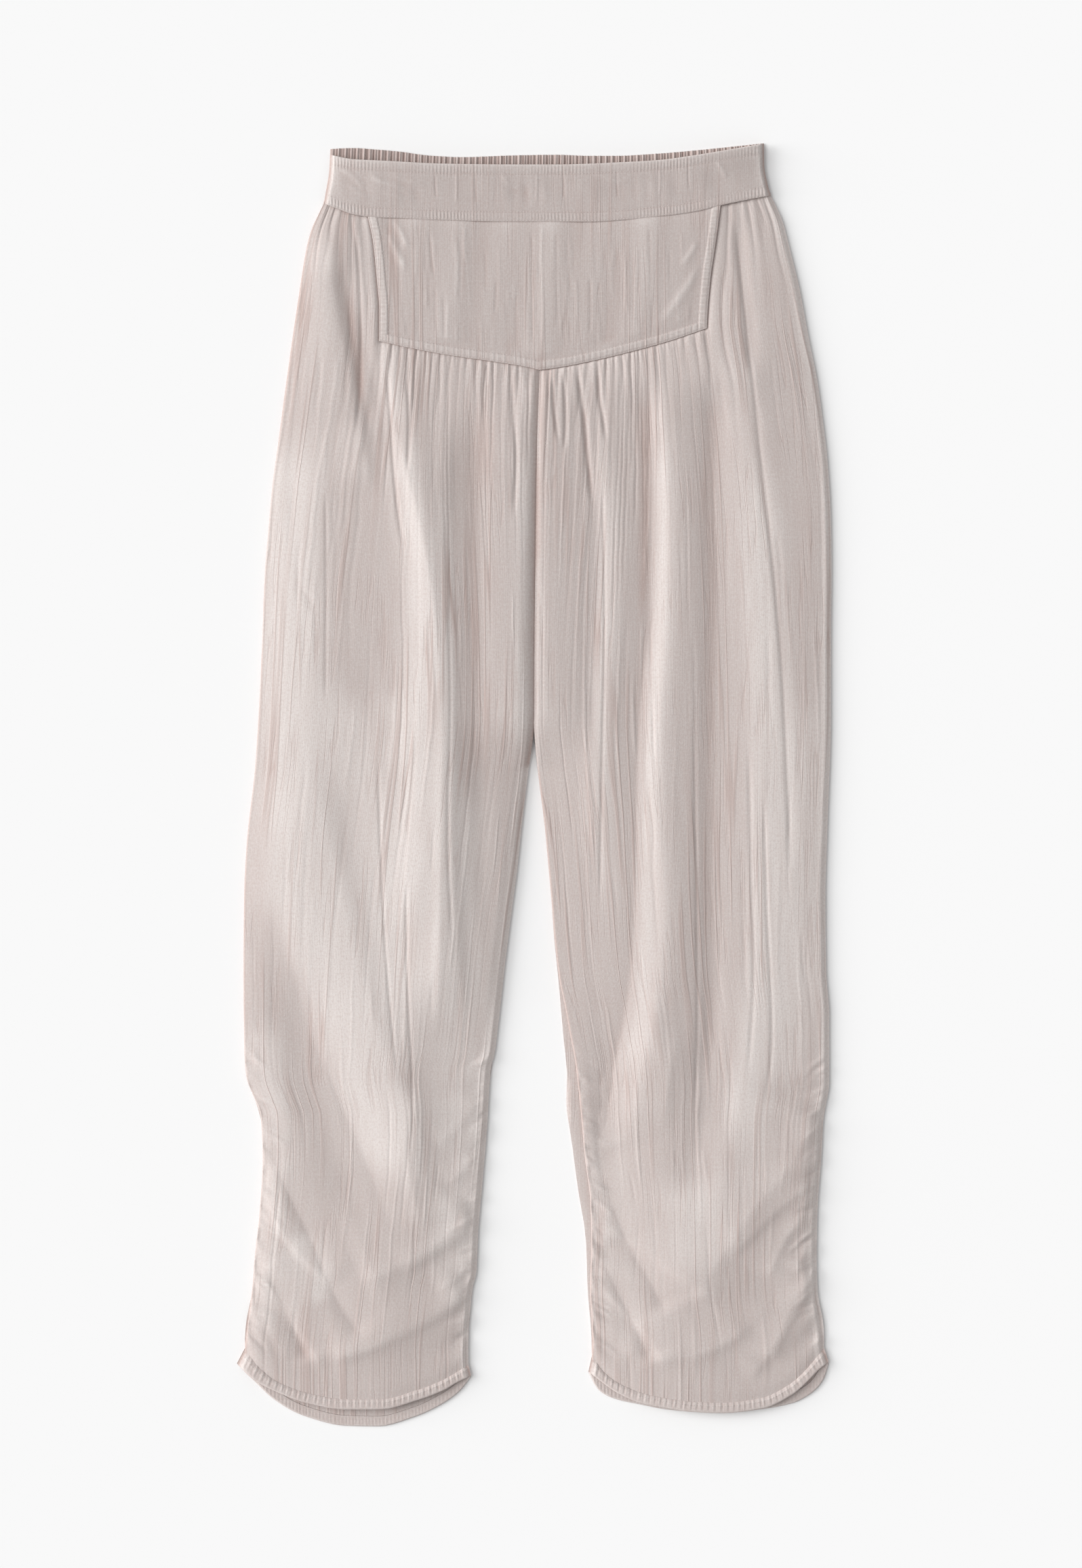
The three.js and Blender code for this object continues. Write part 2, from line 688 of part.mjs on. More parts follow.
function backHem(leg) {
  const at = hemCurves(leg);
  const row = (down) => shares(counts.hemColumns).map((share, column) => {
    const x = mix(at.backSeamX(share), at.backX(share), down);
    const gap = seamGap * (1 + Math.abs(2 * share - 1) ** 4);
    const y = mix(at.backSeamY(share) - gap, at.backY(share), down);
    const under = edgeRound * ((1 - share) ** 8 - share ** 8);
    return { column, top: [x, y, backHemCloth], under: [x + under, y + edgeRound * down, 0] };
  });
  return wallOfRows([row(0), row(1)]);
}

// Waistband: the front is plain and stands up a little along its top, the back is drawn up
// on elastic into fine ruches, whose inner face shows above the front.
const bandFrontTop = through(bandLines, 'x', 'frontTop');
const bandBackTop = through(bandLines, 'x', 'backTop');
const bandLeft = through(bandEnds, 'share', 'left');
const bandRight = through(bandEnds, 'share', 'right');

function frontBand() {
  const row = (up) => shares(counts.bandColumns).map((even, column) => {
    const share = even - (0.8 * Math.sin(2 * Math.PI * even)) / (2 * Math.PI);
    const x = mix(bandLeft(up), bandRight(up), share);
    const y = mix(seamOfBand(x), bandFrontTop(x), up);
    const toEnd = Math.min(x - bandLeft(up), bandRight(up) - x);
    const rolled = 1 - ease(toEnd / 4);
    const lift = (bandSeamLift + bandLift * up ** 1.6) * roundRise(toEnd / 60);
    const bottom = bandFloor + lift;
    const inset = bandCloth * ((1 - share) ** 8 - share ** 8);
    return {
      column,
      top: [x, y, bottom + bandCloth * (1 - rolled)],
      under: [x + inset, y, bottom],
    };
  });
  return wallOfRows([1, 0.85, 0.5, 0.2, 0].map(row));
}

function backBand() {
  const last = counts.elasticRuches * 2;
  const row = (up) => shares(last).map((even, column) => {
    const step = column === 0 || column === last ? 0 : uneven(column + 7, -0.25, 0.25);
    const share = even + step / last;
    const x = mix(bandLeft(up), bandRight(up), share);
    const y = mix(seamOfBand(x), bandBackTop(x), up);
    const crest = column % 2 === 1 ? uneven(column + 90, 0.5, 1) : 0;
    const under = edgeRound * ((1 - share) ** 30 - share ** 30);
    const top = elasticCloth.low + (elasticCloth.high - elasticCloth.low) * crest;
    return { column, top: [x, y, top], under: [x + under, y, 0] };
  });
  return wallOfRows([row(1), row(0)]);
}

// Yoke: a panel with a border along its sides and its pointed bottom edge
function frontYoke() {
  const step = 0.6;
  const inBorder = [0, yokeBorder.width - step, yokeBorder.width + step];
  const between = [1, 2, 3, 4, 5, 6].map((part) => part / 6);
  const row = (place) => {
    const line = (x) => {
      const top = seamOfBand(x) - 2 * seamGap;
      const low = yokeBottom(x);
      return place.up === undefined ? mix(top, low + inBorder[2], place.down) : low + place.up;
    };
    const edge = (side, start) => {
      let x = start;
      for (let turn = 0; turn < 4; turn += 1) x = side(line(x));
      return x;
    };
    const [l, r] = [edge(yokeLeft, -120), edge(yokeRight, 135)];
    const xs = [
      ...inBorder.map((d) => l + d),
      ...between.map((t) => mix(l + inBorder[2], yokePoint, t)),
      ...between.slice(0, -1).map((t) => mix(yokePoint, r - inBorder[2], t)),
      ...[...inBorder].reverse().map((d) => r - d),
    ];
    return xs.map((x, column) => {
      const y = line(x);
      const toSide = Math.min(x - l, r - x);
      const toHem = y - yokeBottom(x);
      const onBorder = Math.min(toSide, toHem) < yokeBorder.width;
      const toBand = seamOfBand(x) - y;
      const dome = roundRise(toSide / 60) * roundRise(toHem / 50) * roundRise(toBand / 40);
      const under = yokeTop + 1.6 * dome - cloth;
      const top = under + cloth + (onBorder ? yokeBorder.rise : 0);
      return { column, top: [x, y, top], under: [x, y, under] };
    });
  };
  return wallOfRows([
    ...[0, 0.25, 0.5, 0.75, 1].map((down) => row({ down })),
    row({ up: inBorder[1] }),
    row({ up: 0 }),
  ]);
}

addPiece('waistband_front', frontBand());
addPiece('waistband_back', backBand());
addPiece('yoke_front', frontYoke());
for (const leg of legs) {
  const rows = frontLeg(leg);
  addPiece(`leg_front_${leg.name}`, wallOfRows(rows));
  addPiece(`hem_front_${leg.name}`, frontHem(leg, rows));
  addPiece(`leg_back_${leg.name}`, backLeg(leg));
  addPiece(`hem_back_${leg.name}`, backHem(leg));
}

export default trousers;
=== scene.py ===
import json
import math
import bpy
import numpy as np
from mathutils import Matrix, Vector
from mathutils.bvhtree import BVHTree

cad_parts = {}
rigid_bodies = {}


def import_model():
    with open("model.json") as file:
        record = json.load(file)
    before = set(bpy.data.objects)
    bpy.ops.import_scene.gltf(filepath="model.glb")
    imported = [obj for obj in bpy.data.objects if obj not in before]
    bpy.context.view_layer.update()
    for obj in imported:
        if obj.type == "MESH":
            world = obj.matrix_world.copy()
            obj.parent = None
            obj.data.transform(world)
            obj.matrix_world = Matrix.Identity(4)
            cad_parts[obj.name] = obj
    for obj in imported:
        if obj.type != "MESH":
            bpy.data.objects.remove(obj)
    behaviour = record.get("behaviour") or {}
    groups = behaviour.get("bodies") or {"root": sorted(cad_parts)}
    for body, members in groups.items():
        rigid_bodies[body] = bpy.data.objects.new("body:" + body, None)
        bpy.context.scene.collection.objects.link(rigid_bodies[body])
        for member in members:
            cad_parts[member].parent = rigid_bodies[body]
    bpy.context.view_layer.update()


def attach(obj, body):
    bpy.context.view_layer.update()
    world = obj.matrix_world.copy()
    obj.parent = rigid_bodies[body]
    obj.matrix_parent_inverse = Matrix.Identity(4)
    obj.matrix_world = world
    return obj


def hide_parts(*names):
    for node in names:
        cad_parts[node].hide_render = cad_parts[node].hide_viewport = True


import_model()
toMetres = 0.001  # the forms below are worked out in millimetres
middle = (0.05, -1.49)  # where the paper pattern's zero lies in the frame
print("frame loaded")

# camera, light and floor
view = {"lens": 85, "sensor": 36, "reach": 20, "aimX": 5.25, "aimY": 0.59, "height": 2845}
cameraData = bpy.data.cameras.new("camera")
cameraData.lens = view["lens"]
cameraData.sensor_width = view["sensor"]
cameraData.clip_end = view["reach"]
camera = bpy.data.objects.new("camera", cameraData)
camera.location = (view["aimX"] * toMetres, view["aimY"] * toMetres, view["height"] * toMetres)
bpy.context.collection.objects.link(camera)
bpy.context.scene.camera = camera
bpy.context.scene.view_settings.view_transform = "Standard"

lights = {
    "window": {"strength": 1.4, "softness": 50, "towards": (-1.0, 0.3), "elevation": 42},
    "lowWindow": {"strength": 2.4, "softness": 32, "towards": (-1.0, 0.12), "elevation": 17},
}
sky = 0.475
ground = {"half": 3, "below": 0.0001, "white": 0.95}  # a plain pale surface, in metres


def softSun(name, part):
    data = bpy.data.lights.new(name, "SUN")
    data.energy = part["strength"]
    data.angle = math.radians(part["softness"])
    tilt = math.radians(part["elevation"])
    aim = Vector((*part["towards"], 0)).normalized() * math.cos(tilt) + Vector((0, 0, math.sin(tilt)))
    made = bpy.data.objects.new(name, data)
    made.rotation_euler = aim.to_track_quat("Z", "Y").to_euler()
    bpy.context.collection.objects.link(made)


for name, part in lights.items():
    softSun(name, part)
world = bpy.data.worlds.new("room")
bpy.context.scene.world = world
world.use_nodes = True
world.node_tree.nodes["Background"].inputs["Color"].default_value = (1, 1, 1, 1)
world.node_tree.nodes["Background"].inputs["Strength"].default_value = sky


# materials
class Reading:  # a socket that takes part in sums
    def __init__(self, paint, socket):
        self.paint, self.socket = paint, socket

    def __add__(self, other):
        return self.paint.maths("ADD", self, other)

    def __radd__(self, other):
        return self.paint.maths("ADD", other, self)

    def __sub__(self, other):
        return self.paint.maths("SUBTRACT", self, other)

    def __rsub__(self, other):
        return self.paint.maths("SUBTRACT", other, self)

    def __mul__(self, other):
        return self.paint.maths("MULTIPLY", self, other)

    def __rmul__(self, other):
        return self.paint.maths("MULTIPLY", other, self)


class Nodes:  # adds nodes to a tree and joins them
    def __init__(self, tree):
        self.tree = tree

    def node(self, kind, settings=None, inputs=None):
        made = self.tree.nodes.new(kind)
        for key, value in (settings or {}).items():
            setattr(made, key, value)
        for key, value in (inputs or {}).items():
            value = value.socket if isinstance(value, Reading) else value
            if isinstance(value, bpy.types.NodeSocket):
                self.tree.links.new(value, made.inputs[key])
            else:
                made.inputs[key].default_value = value
        return made


class Paint(Nodes):  # builds one material
    def __init__(self, name):
        self.material = bpy.data.materials.new(name)
        self.material.use_nodes = True
        super().__init__(self.material.node_tree)
        self.tree.nodes.clear()

    def read(self, kind, settings, inputs, output):
        return Reading(self, self.node(kind, settings, inputs).outputs[output])

    def maths(self, operation, first, second):
        return self.read("ShaderNodeMath", {"operation": operation}, {0: first, 1: second}, 0)

    def limited(self, value, low, high):  # 0 at low and 1 at high
        return self.read("ShaderNodeMapRange", {"interpolation_type": "SMOOTHSTEP"},
                         {"Value": value, "From Min": low, "From Max": high}, "Result")

    def colourMix(self, factor, first, second):
        return self.read("ShaderNodeMix", {"data_type": "RGBA"}, {0: factor, 6: first, 7: second}, 2)

    def noise(self, place, scale, detail, rough=0.5):
        return self.read("ShaderNodeTexNoise", {},
                         {"Vector": place, "Scale": scale, "Detail": detail, "Roughness": rough}, 0)

    def stretched(self, place, scale):
        return self.read("ShaderNodeMapping", {}, {"Vector": place, "Scale": scale}, 0)

    def covered(self, inputs):  # closes the material with its shader
        shader = self.node("ShaderNodeBsdfPrincipled", {}, inputs)
        output = self.node("ShaderNodeOutputMaterial")
        self.tree.links.new(shader.outputs[0], output.inputs[0])
        return self.material


gauze = {
    # the second colour below is painted shade for troughs and crease lines, and also darker grain; the
    # third is painted light for crests, and also paler streaks and grain
    "flat": (0.535, 0.472, 0.45, 1), "paintedShading": (0.45, 0.345, 0.315, 1),
    "paintedLightAndStreak": (0.68, 0.625, 0.60, 1),
    "rough": 0.95, "sheen": 0.14, "sheenRough": 0.5, "shine": 0.2,
    # irregular patterns: scale across and along the cloth, detail, roughness
    "streak": ((700, 40, 1), 3.0, 0.62), "finer": ((1500, 1000, 1), 2.0, 0.65),
    "slub": ((150, 22, 1), 2.0, 0.5), "grain": ((620, 520, 1), 3.0, 0.7),
    # thin creases: scale, half width and the scale of the patches where they show
    "longCrease": ((85, 2.2, 1), 0.042, (24, 5, 1)), "shortCrease": ((190, 9, 1), 0.045, (40, 12, 1)),
    "patchNoise": (0.46, 0.62), "streakShare": 0.45, "finerShare": 0.55,
    # how much each of them shifts the colour, the crease lines as painted shade, and in millimetres how
    # high it stands
    "wornTone": 0.2, "grainDark": 0.27, "grainPale": 0.24, "slubTone": 0.14,
    "longCreaseShade": 0.5, "shortCreaseShade": 0.3,
    "threadScale": 420.0, "threadBend": 1.2, "thread": 0.06, "crepe": 0.10, "rib": 0.07,
    "crease": 0.17, "fineCrease": 0.10,
}


def creaseLines(paint, place, scale, thin, patches):
    # thin meandering lines down the cloth, where a stretched noise passes its middle value
    noise = paint.noise(paint.stretched(place, scale), 1.0, 2.0, 0.45)
    away = paint.read("ShaderNodeMath", {"operation": "ABSOLUTE"}, {0: noise - 0.5}, 0)
    here = paint.limited(paint.noise(paint.stretched(place, patches), 1.0, 1.0), *gauze["patchNoise"])
    return paint.limited(away, thin, 0.0) * here


def clothMaterial(name, creaseShare, paintedBrightness=1.0):
    paint = Paint(name)
    place = paint.read("ShaderNodeUVMap", {"uv_map": "cloth"}, {}, 0)
    # the per-point attribute that paints shade into troughs and light onto crests
    paintedShading = paint.read("ShaderNodeAttribute", {"attribute_name": "paintedShading"}, {}, "Fac")
    streak, finer, slub, grain = (
        paint.noise(paint.stretched(place, scale), 1.0, detail, rough)
        for scale, detail, rough in (gauze[kind] for kind in ("streak", "finer", "slub", "grain")))
    weave = {"Vector": place, "Scale": gauze["threadScale"], "Distortion": gauze["threadBend"],
             "Detail": 1.0}
    warp, weft = (
        paint.read("ShaderNodeTexWave", {"bands_direction": way}, weave, "Fac") for way in "XY")
    long, short = (creaseLines(paint, place, *gauze[kind]) for kind in ("longCrease", "shortCrease"))
    colour, dark, pale = (
        [c * paintedBrightness for c in gauze[key][:3]] + [1] for key in ("flat", "paintedShading", "paintedLightAndStreak"))
    worn = paint.limited(streak * gauze["streakShare"] + finer * gauze["finerShare"], 0.3, 0.7)
    # the first two mixes are painted shade in troughs and painted light on crests, the last is painted
    # shade along the crease lines; the others are the gauze's own uneven colour
    for share, other in (
            (paint.limited(paintedShading, 0.52, 1.0), dark),
            (paint.limited(paintedShading, 0.48, 0.0), pale),
            (worn * gauze["wornTone"], pale),
            (paint.limited(grain, 0.42, 0.66) * gauze["grainDark"], dark),
            (paint.limited(grain, 0.5, 0.3) * gauze["grainPale"], pale),
            (paint.limited(slub, 0.35, 0.75) * gauze["slubTone"], dark),
            ((long * gauze["longCreaseShade"] + short * gauze["shortCreaseShade"]) * creaseShare, dark)):
        colour = paint.colourMix(share, colour, other)
    rise = (streak * gauze["crepe"] + finer * gauze["rib"] + warp * weft * gauze["thread"]
            + (long * gauze["crease"] - short * gauze["fineCrease"]) * creaseShare)
    bump = paint.read("ShaderNodeBump", {}, {"Height": rise, "Distance": toMetres, "Strength": 1.0},
                      "Normal")
    return paint.covered({
        "Base Color": colour, "Roughness": gauze["rough"], "Normal": bump,
        "Sheen Weight": gauze["sheen"], "Sheen Roughness": gauze["sheenRough"],
        "Specular IOR Level": gauze["shine"]})


# each piece's gauze is made lighter or darker by its own number: painted light and shade on copies of
# one cloth
legGauze = clothMaterial("leg_gauze", 1.0, 1.06)
yokeGauze = clothMaterial("yoke_gauze", 0.9, 1.0)
bandGauze = clothMaterial("band_gauze", 0.6, 0.99)
hemGauze = clothMaterial("hem_gauze", 0.3, 1.09)

thread = {"colour": (0.60, 0.53, 0.505, 1), "dark": 0.86, "grain": 2200.0, "rough": 0.7, "shine": 0.2}


def threadMaterial(name):
    paint = Paint(name)
    grain = paint.noise(paint.read("ShaderNodeTexCoord", {}, {}, "Object"), thread["grain"], 2.0)
    darker = [c * thread["dark"] for c in thread["colour"][:3]] + [1]
    return paint.covered({
        "Base Color": paint.colourMix(grain, thread["colour"], darker), "Roughness": thread["rough"],
        "Specular IOR Level": thread["shine"]})


sewingThread = threadMaterial("sewing_thread")

floorMaterial = bpy.data.materials.new("floor")
floorMaterial.use_nodes = True
floorShader = floorMaterial.node_tree.nodes["Principled BSDF"]
floorShader.inputs["Base Color"].default_value = (*[ground["white"]] * 3, 1)
floorShader.inputs["Roughness"].default_value = 1.0
floorShader.inputs["Specular IOR Level"].default_value = 0.0
floorMesh = bpy.data.meshes.new("floor")
floorMesh.from_pydata([(u * ground["half"], v * ground["half"], -ground["below"])
                       for u, v in ((-1, -1), (1, -1), (1, 1), (-1, 1))], [], [(0, 1, 2, 3)])
floorMesh.materials.append(floorMaterial)
floor = bpy.data.objects.new("floor", floorMesh)
bpy.context.collection.objects.link(floor)
print("camera, light and materials ready")


# lines and shapes
def mix(a, b, share):
    return a + (b - a) * share


def ease(value):
    t = np.clip(value, 0, 1)
    return t * t * (3 - 2 * t)


def roundRise(value):
    return np.sqrt(np.clip(1 - (1 - np.clip(value, 0, 1)) ** 2, 0, 1))


def bell(distance, width):  # 1 at no distance, and soft down to 0 beyond the width
    return np.exp(-((distance / width) ** 2))


def crowded(t, share):  # even steps from 0 to 1, drawn closer together towards both ends
    return t - share * np.sin(2 * np.pi * t) / (2 * np.pi)


def uneven(number, low, high):
    turn = np.sin(np.asarray(number) * 12.9898 + 4.1) * 437.585
    return mix(low, high, turn - np.floor(turn))


def through(xs, ys):  # a smooth line that never swings past its points
    order = np.argsort(xs)
    px, py = np.array(xs, float)[order], np.array(ys, float)[order]
    slopes = np.diff(py) / np.diff(px)
    bends = np.empty(len(px))
    bends[0], bends[-1] = slopes[0], slopes[-1]
    before, after = slopes[:-1], slopes[1:]
    same = before * after > 0
    bends[1:-1] = np.where(same, 2 * before * after / np.where(same, before + after, 1), 0)

    def line(value):
        at = np.clip(value, px[0], px[-1])
        i = np.clip(np.searchsorted(px, at, side="right") - 1, 0, len(px) - 2)
        span = px[i + 1] - px[i]
        t = (at - px[i]) / span
        a, b = py[i], py[i + 1]
        return (a + t * t * (3 - 2 * t) * (b - a)
                + span * (t * (1 - t) ** 2 * bends[i] - t * t * (1 - t) * bends[i + 1]))
    return line


def column(rows, first, second):
    return through([row[first] for row in rows], [row[second] for row in rows])


def smoothPath(points, parts):
    p = np.array(points, float)
    padded = np.vstack([2 * p[0] - p[1], p, 2 * p[-1] - p[-2]])
    t = np.linspace(0, 1, parts, endpoint=False)[:, None]
    bits = []
    for i in range(len(p) - 1):
        a, b, c, d = padded[i:i + 4]
        bits.append(0.5 * (2 * b + (c - a) * t + (2 * a - 5 * b + 4 * c - d) * t ** 2
                           + (3 * b - a - 3 * c + d) * t ** 3))
    return np.vstack(bits + [p[-1:]])


def pathRise(x, y, path, rise, rightHand, leftHand, fade, sharp=0, parts=6):
    # a soft ridge or trough along a path, or with sharp set, one that comes to an edge that blunt,
    # its flanks seen along the path, which is rounded with so many parts between its points
    line = smoothPath(path, parts)
    reach = (4 if sharp else 2.6) * max(rightHand, leftHand)
    near = ((x > line[:, 0].min() - reach) & (x < line[:, 0].max() + reach)
            & (y > line[:, 1].min() - reach) & (y < line[:, 1].max() + reach))
    out = np.zeros(x.shape)
    if not near.any():
        return out
    px, py = x[near], y[near]
    best, side, along, walked = np.full(px.shape, 1e9), np.zeros(px.shape), np.zeros(px.shape), 0.0
    for start, end in zip(line[:-1], line[1:]):
        run = end - start
        length = math.hypot(*run)
        awayX, awayY = px - start[0], py - start[1]
        t = np.clip((awayX * run[0] + awayY * run[1]) / length ** 2, 0, 1)
        gap = np.hypot(awayX - run[0] * t, awayY - run[1] * t)
        closer = gap < best
        best = np.where(closer, gap, best)
        side = np.where(closer, run[0] * awayY - run[1] * awayX, side)
        along = np.where(closer, walked + length * t, along)
        walked += length
    flank = np.where(side < 0, rightHand, leftHand)
    ends = ease(along / fade) * ease((walked - along) / fade)
    if sharp:
        away = (np.hypot(best, sharp) - sharp) / flank
        out[near] = rise * ends * np.clip((np.exp(-away) - 0.02) / 0.98, 0, 1)
    else:
        out[near] = rise * ends * bell(best, flank)
    return out


def blurred(values, across, down):  # a soft average over so many columns and rows
    out = values
    for axis, size in ((1, across), (0, down)):
        if size < 1:
            continue
        for _ in range(2):
            pad = [(0, 0), (0, 0)]
            pad[axis] = (size, size)
            total = np.cumsum(np.pad(out, pad, mode="edge"), axis=axis)
            zero = np.zeros_like(np.take(total, [0], axis=axis))
            total = np.concatenate([zero, total], axis=axis)
            count = 2 * size + 1
            high = np.take(total, range(count, total.shape[axis]), axis=axis)
            low = np.take(total, range(0, total.shape[axis] - count), axis=axis)
            out = (high - low) / count
    return out


# shells of cloth
def shell(name, x, y, top, low, paintedShading, material, clothX=None, liningX=None, cells=None, step=4,
          below=False):
    # top is the fine side that shows, low the plain side behind it, all of them rows by columns
    face = np.stack([x, y, top], 2)
    lining = np.stack([x if liningX is None else liningX, y, low], 2)
    uv = np.stack([x if clothX is None else clothX, y], 2)
    rows, columns = x.shape
    if cells is None:
        cells = np.ones((rows - 1, columns - 1), bool)
    number = np.arange(rows * columns).reshape(rows, columns)
    r, c = np.nonzero(cells)
    quads = np.stack([number[r, c], number[r + 1, c], number[r + 1, c + 1], number[r, c + 1]], 1)
    coarse = cells[::step, ::step]
    offset = rows * columns
    r, c = np.nonzero(coarse)
    r, c = r * step, c * step
    back = np.stack([number[r, c], number[r, c + step], number[r + step, c + step],
                     number[r + step, c]], 1) + offset
    rim = []
    padded = np.pad(coarse, 1)
    corners = {"left": ((0, 0), (1, 0)), "bottom": ((1, 0), (1, 1)),
               "right": ((1, 1), (0, 1)), "top": ((0, 1), (0, 0))}
    besides = {"left": (0, -1), "bottom": (1, 0), "right": (0, 1), "top": (-1, 0)}
    for side, (start, end) in corners.items():
        dr, dc = besides[side]
        free = coarse & ~padded[1 + dr:1 + dr + coarse.shape[0], 1 + dc:1 + dc + coarse.shape[1]]
        for i, j in zip(*np.nonzero(free)):
            a = np.array(((i + start[0]) * step, (j + start[1]) * step))
            b = np.array(((i + end[0]) * step, (j + end[1]) * step))
            f = [number[tuple(a + (b - a) * k // step)] for k in range(step + 1)]
            c0, c1 = number[tuple(a)] + offset, number[tuple(b)] + offset
            half = step // 2
            rim += [(f[k + 1], f[k], c0) for k in range(half)]
            rim.append((f[half], c0, c1))
            rim += [(f[k + 1], f[k], c1) for k in range(half, step)]
    points = np.concatenate([face.reshape(-1, 3), lining.reshape(-1, 3)])
    faces = quads.tolist() + back.tolist() + [list(map(int, tri)) for tri in rim]
    if below:
        faces = [f[::-1] for f in faces]
    used = np.unique(np.concatenate([quads.ravel(), back.ravel(), np.array(rim).ravel()]))
    renumber = np.full(len(points), -1)
    renumber[used] = np.arange(len(used))
    faces = [renumber[f].tolist() for f in faces]
    placed = (points[used] + np.array([middle[0], middle[1], 0])) * toMetres
    mesh = bpy.data.meshes.new(name)
    mesh.from_pydata(placed.tolist(), [], faces)
    flatUv = np.concatenate([uv.reshape(-1, 2), uv.reshape(-1, 2)])[used] * toMetres
    loops = np.zeros(len(mesh.loops), np.int32)
    mesh.loops.foreach_get("vertex_index", loops)
    layer = mesh.uv_layers.new(name="cloth")
    layer.data.foreach_set("uv", flatUv[loops].ravel().astype(np.float32))
    # the attribute for painted shade in troughs and painted light on crests; the plain side gets the
    # middle value
    shade = np.concatenate([paintedShading.ravel(), np.full(paintedShading.size, 0.5)])[used]
    attribute = mesh.attributes.new("paintedShading", "FLOAT", "POINT")
    attribute.data.foreach_set("value", shade.astype(np.float32))
    mesh.materials.append(material)
    mesh.shade_smooth()
    mesh.set_sharp_from_angle(angle=math.radians(65))
    mesh.validate()
    made = bpy.data.objects.new(name, mesh)
    bpy.context.collection.objects.link(made)
    print(name, "has", sum(len(f) - 2 for f in faces), "triangles")
    return made


def paintedShadingOf(height, across, down, depth):  # 1 in a trough, 0 on a crest, 0.5 where it is flat; it paints shade into troughs and light onto crests
    away = blurred(height, across, down) - height
    return np.clip(0.5 + 0.5 * away / depth, 0, 1)


def finish(piece, nodes):
    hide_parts(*nodes)
    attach(piece, "root")


# rows of stitches, with pathStep between the points that a row's path is laid on
stitch = {"pitch": 2.4, "length": 1.9, "width": 0.5, "height": 0.34, "uneven": 0.12, "sunk": 0.04,
          "seed": 4, "around": 8, "rings": 5, "pathStep": 0.8, "above": 100}


class StitchTree(Nodes):  # builds the node tree that sets a stitch on each step of a path
    def __init__(self, name):
        super().__init__(bpy.data.node_groups.new(name, "GeometryNodeTree"))
        self.ids = {}

    def entry(self, name, kind, value=None):
        made = self.tree.interface.new_socket(name, in_out="INPUT", socket_type=kind)
        if value is not None:
            made.default_value = value
        self.ids[name] = made.identifier


def buildStitchTree():
    built = StitchTree("stitch_rows")
    built.entry("Paths", "NodeSocketGeometry")
    for name in ("Pitch", "Length", "Width", "Height"):
        built.entry(name, "NodeSocketFloat", stitch[name.lower()] * toMetres)
    built.entry("Unevenness", "NodeSocketFloat", stitch["uneven"])
    built.entry("Seed", "NodeSocketInt", stitch["seed"])
    built.entry("Thread", "NodeSocketMaterial")
    built.tree.interface.new_socket("Stitches", in_out="OUTPUT", socket_type="NodeSocketGeometry")
    given = built.node("NodeGroupInput").outputs
    curve = built.node("GeometryNodeMeshToCurve", {}, {"Mesh": given["Paths"]})
    steps = built.node("GeometryNodeCurveToPoints", {"mode": "LENGTH"},
                       {"Curve": curve.outputs[0], "Length": given["Pitch"]})
    turned = built.node("FunctionNodeAlignRotationToVector", {"axis": "X"},
                        {"Vector": steps.outputs["Tangent"]})
    bead = built.node("GeometryNodeMeshUVSphere", {},
                      {"Segments": stitch["around"], "Rings": stitch["rings"], "Radius": 0.5})
    size = built.node("ShaderNodeCombineXYZ", {},
                      {"X": given["Length"], "Y": given["Width"], "Z": given["Height"]})
    least = built.node("ShaderNodeMath", {"operation": "SUBTRACT"}, {0: 1.0, 1: given["Unevenness"]})
    share = built.node("FunctionNodeRandomValue", {"data_type": "FLOAT"},
                       {2: least.outputs[0], 3: 1.0, "Seed": given["Seed"]})
    scale = built.node("ShaderNodeVectorMath", {"operation": "SCALE"},
                       {0: size.outputs[0], "Scale": share.outputs[1]})
    beads = built.node("GeometryNodeInstanceOnPoints", {}, {
        "Points": steps.outputs["Points"], "Instance": bead.outputs[0], "Rotation": turned.outputs[0],
        "Scale": scale.outputs[0]})
    real = built.node("GeometryNodeRealizeInstances", {}, {"Geometry": beads.outputs[0]})
    smooth = built.node("GeometryNodeSetShadeSmooth", {}, {0: real.outputs[0]})
    done = built.node("GeometryNodeSetMaterial", {},
                      {"Geometry": smooth.outputs[0], "Material": given["Thread"]})
    built.node("NodeGroupOutput", {}, {0: done.outputs[0]})
    return built


stitchTree = buildStitchTree()


def sewRows(name, host, rows):
    # rows are paths in millimetres, laid on the top of the host piece
    mesh = host.data
    surface = BVHTree.FromPolygons([v.co for v in mesh.vertices], [p.vertices[:] for p in mesh.polygons])
    points, edges = [], []
    for row in rows:
        row = np.array(row, float)
        steps = np.hypot(*np.diff(row, axis=0).T)
        along = np.concatenate([[0], np.cumsum(steps)])
        at = np.arange(0, along[-1], stitch["pathStep"])
        start = len(points)
        for px, py in zip(np.interp(at, along, row[:, 0]), np.interp(at, along, row[:, 1])):
            above = Vector(((px + middle[0]) * toMetres, (py + middle[1]) * toMetres,
                            stitch["above"] * toMetres))
            hit = surface.ray_cast(above, Vector((0, 0, -1)))[0]
            if hit is not None:
                points.append(hit - Vector((0, 0, stitch["sunk"] * toMetres)))
        edges += [(i, i + 1) for i in range(start, len(points) - 1)]
    paths = bpy.data.meshes.new(name)
    paths.from_pydata(points, edges, [])
    made = bpy.data.objects.new(name, paths)
    bpy.context.collection.objects.link(made)
    sewn = made.modifiers.new("stitches", "NODES")
    sewn.node_group = stitchTree.tree
    sewn[stitchTree.ids["Thread"]] = sewingThread
    shown = made.evaluated_get(bpy.context.evaluated_depsgraph_get())
    plain = bpy.data.meshes.new_from_object(shown)
    made.modifiers.remove(sewn)
    made.data = plain
    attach(made, "root")
    print(name, "has", len(plain.polygons), "faces")
    return made


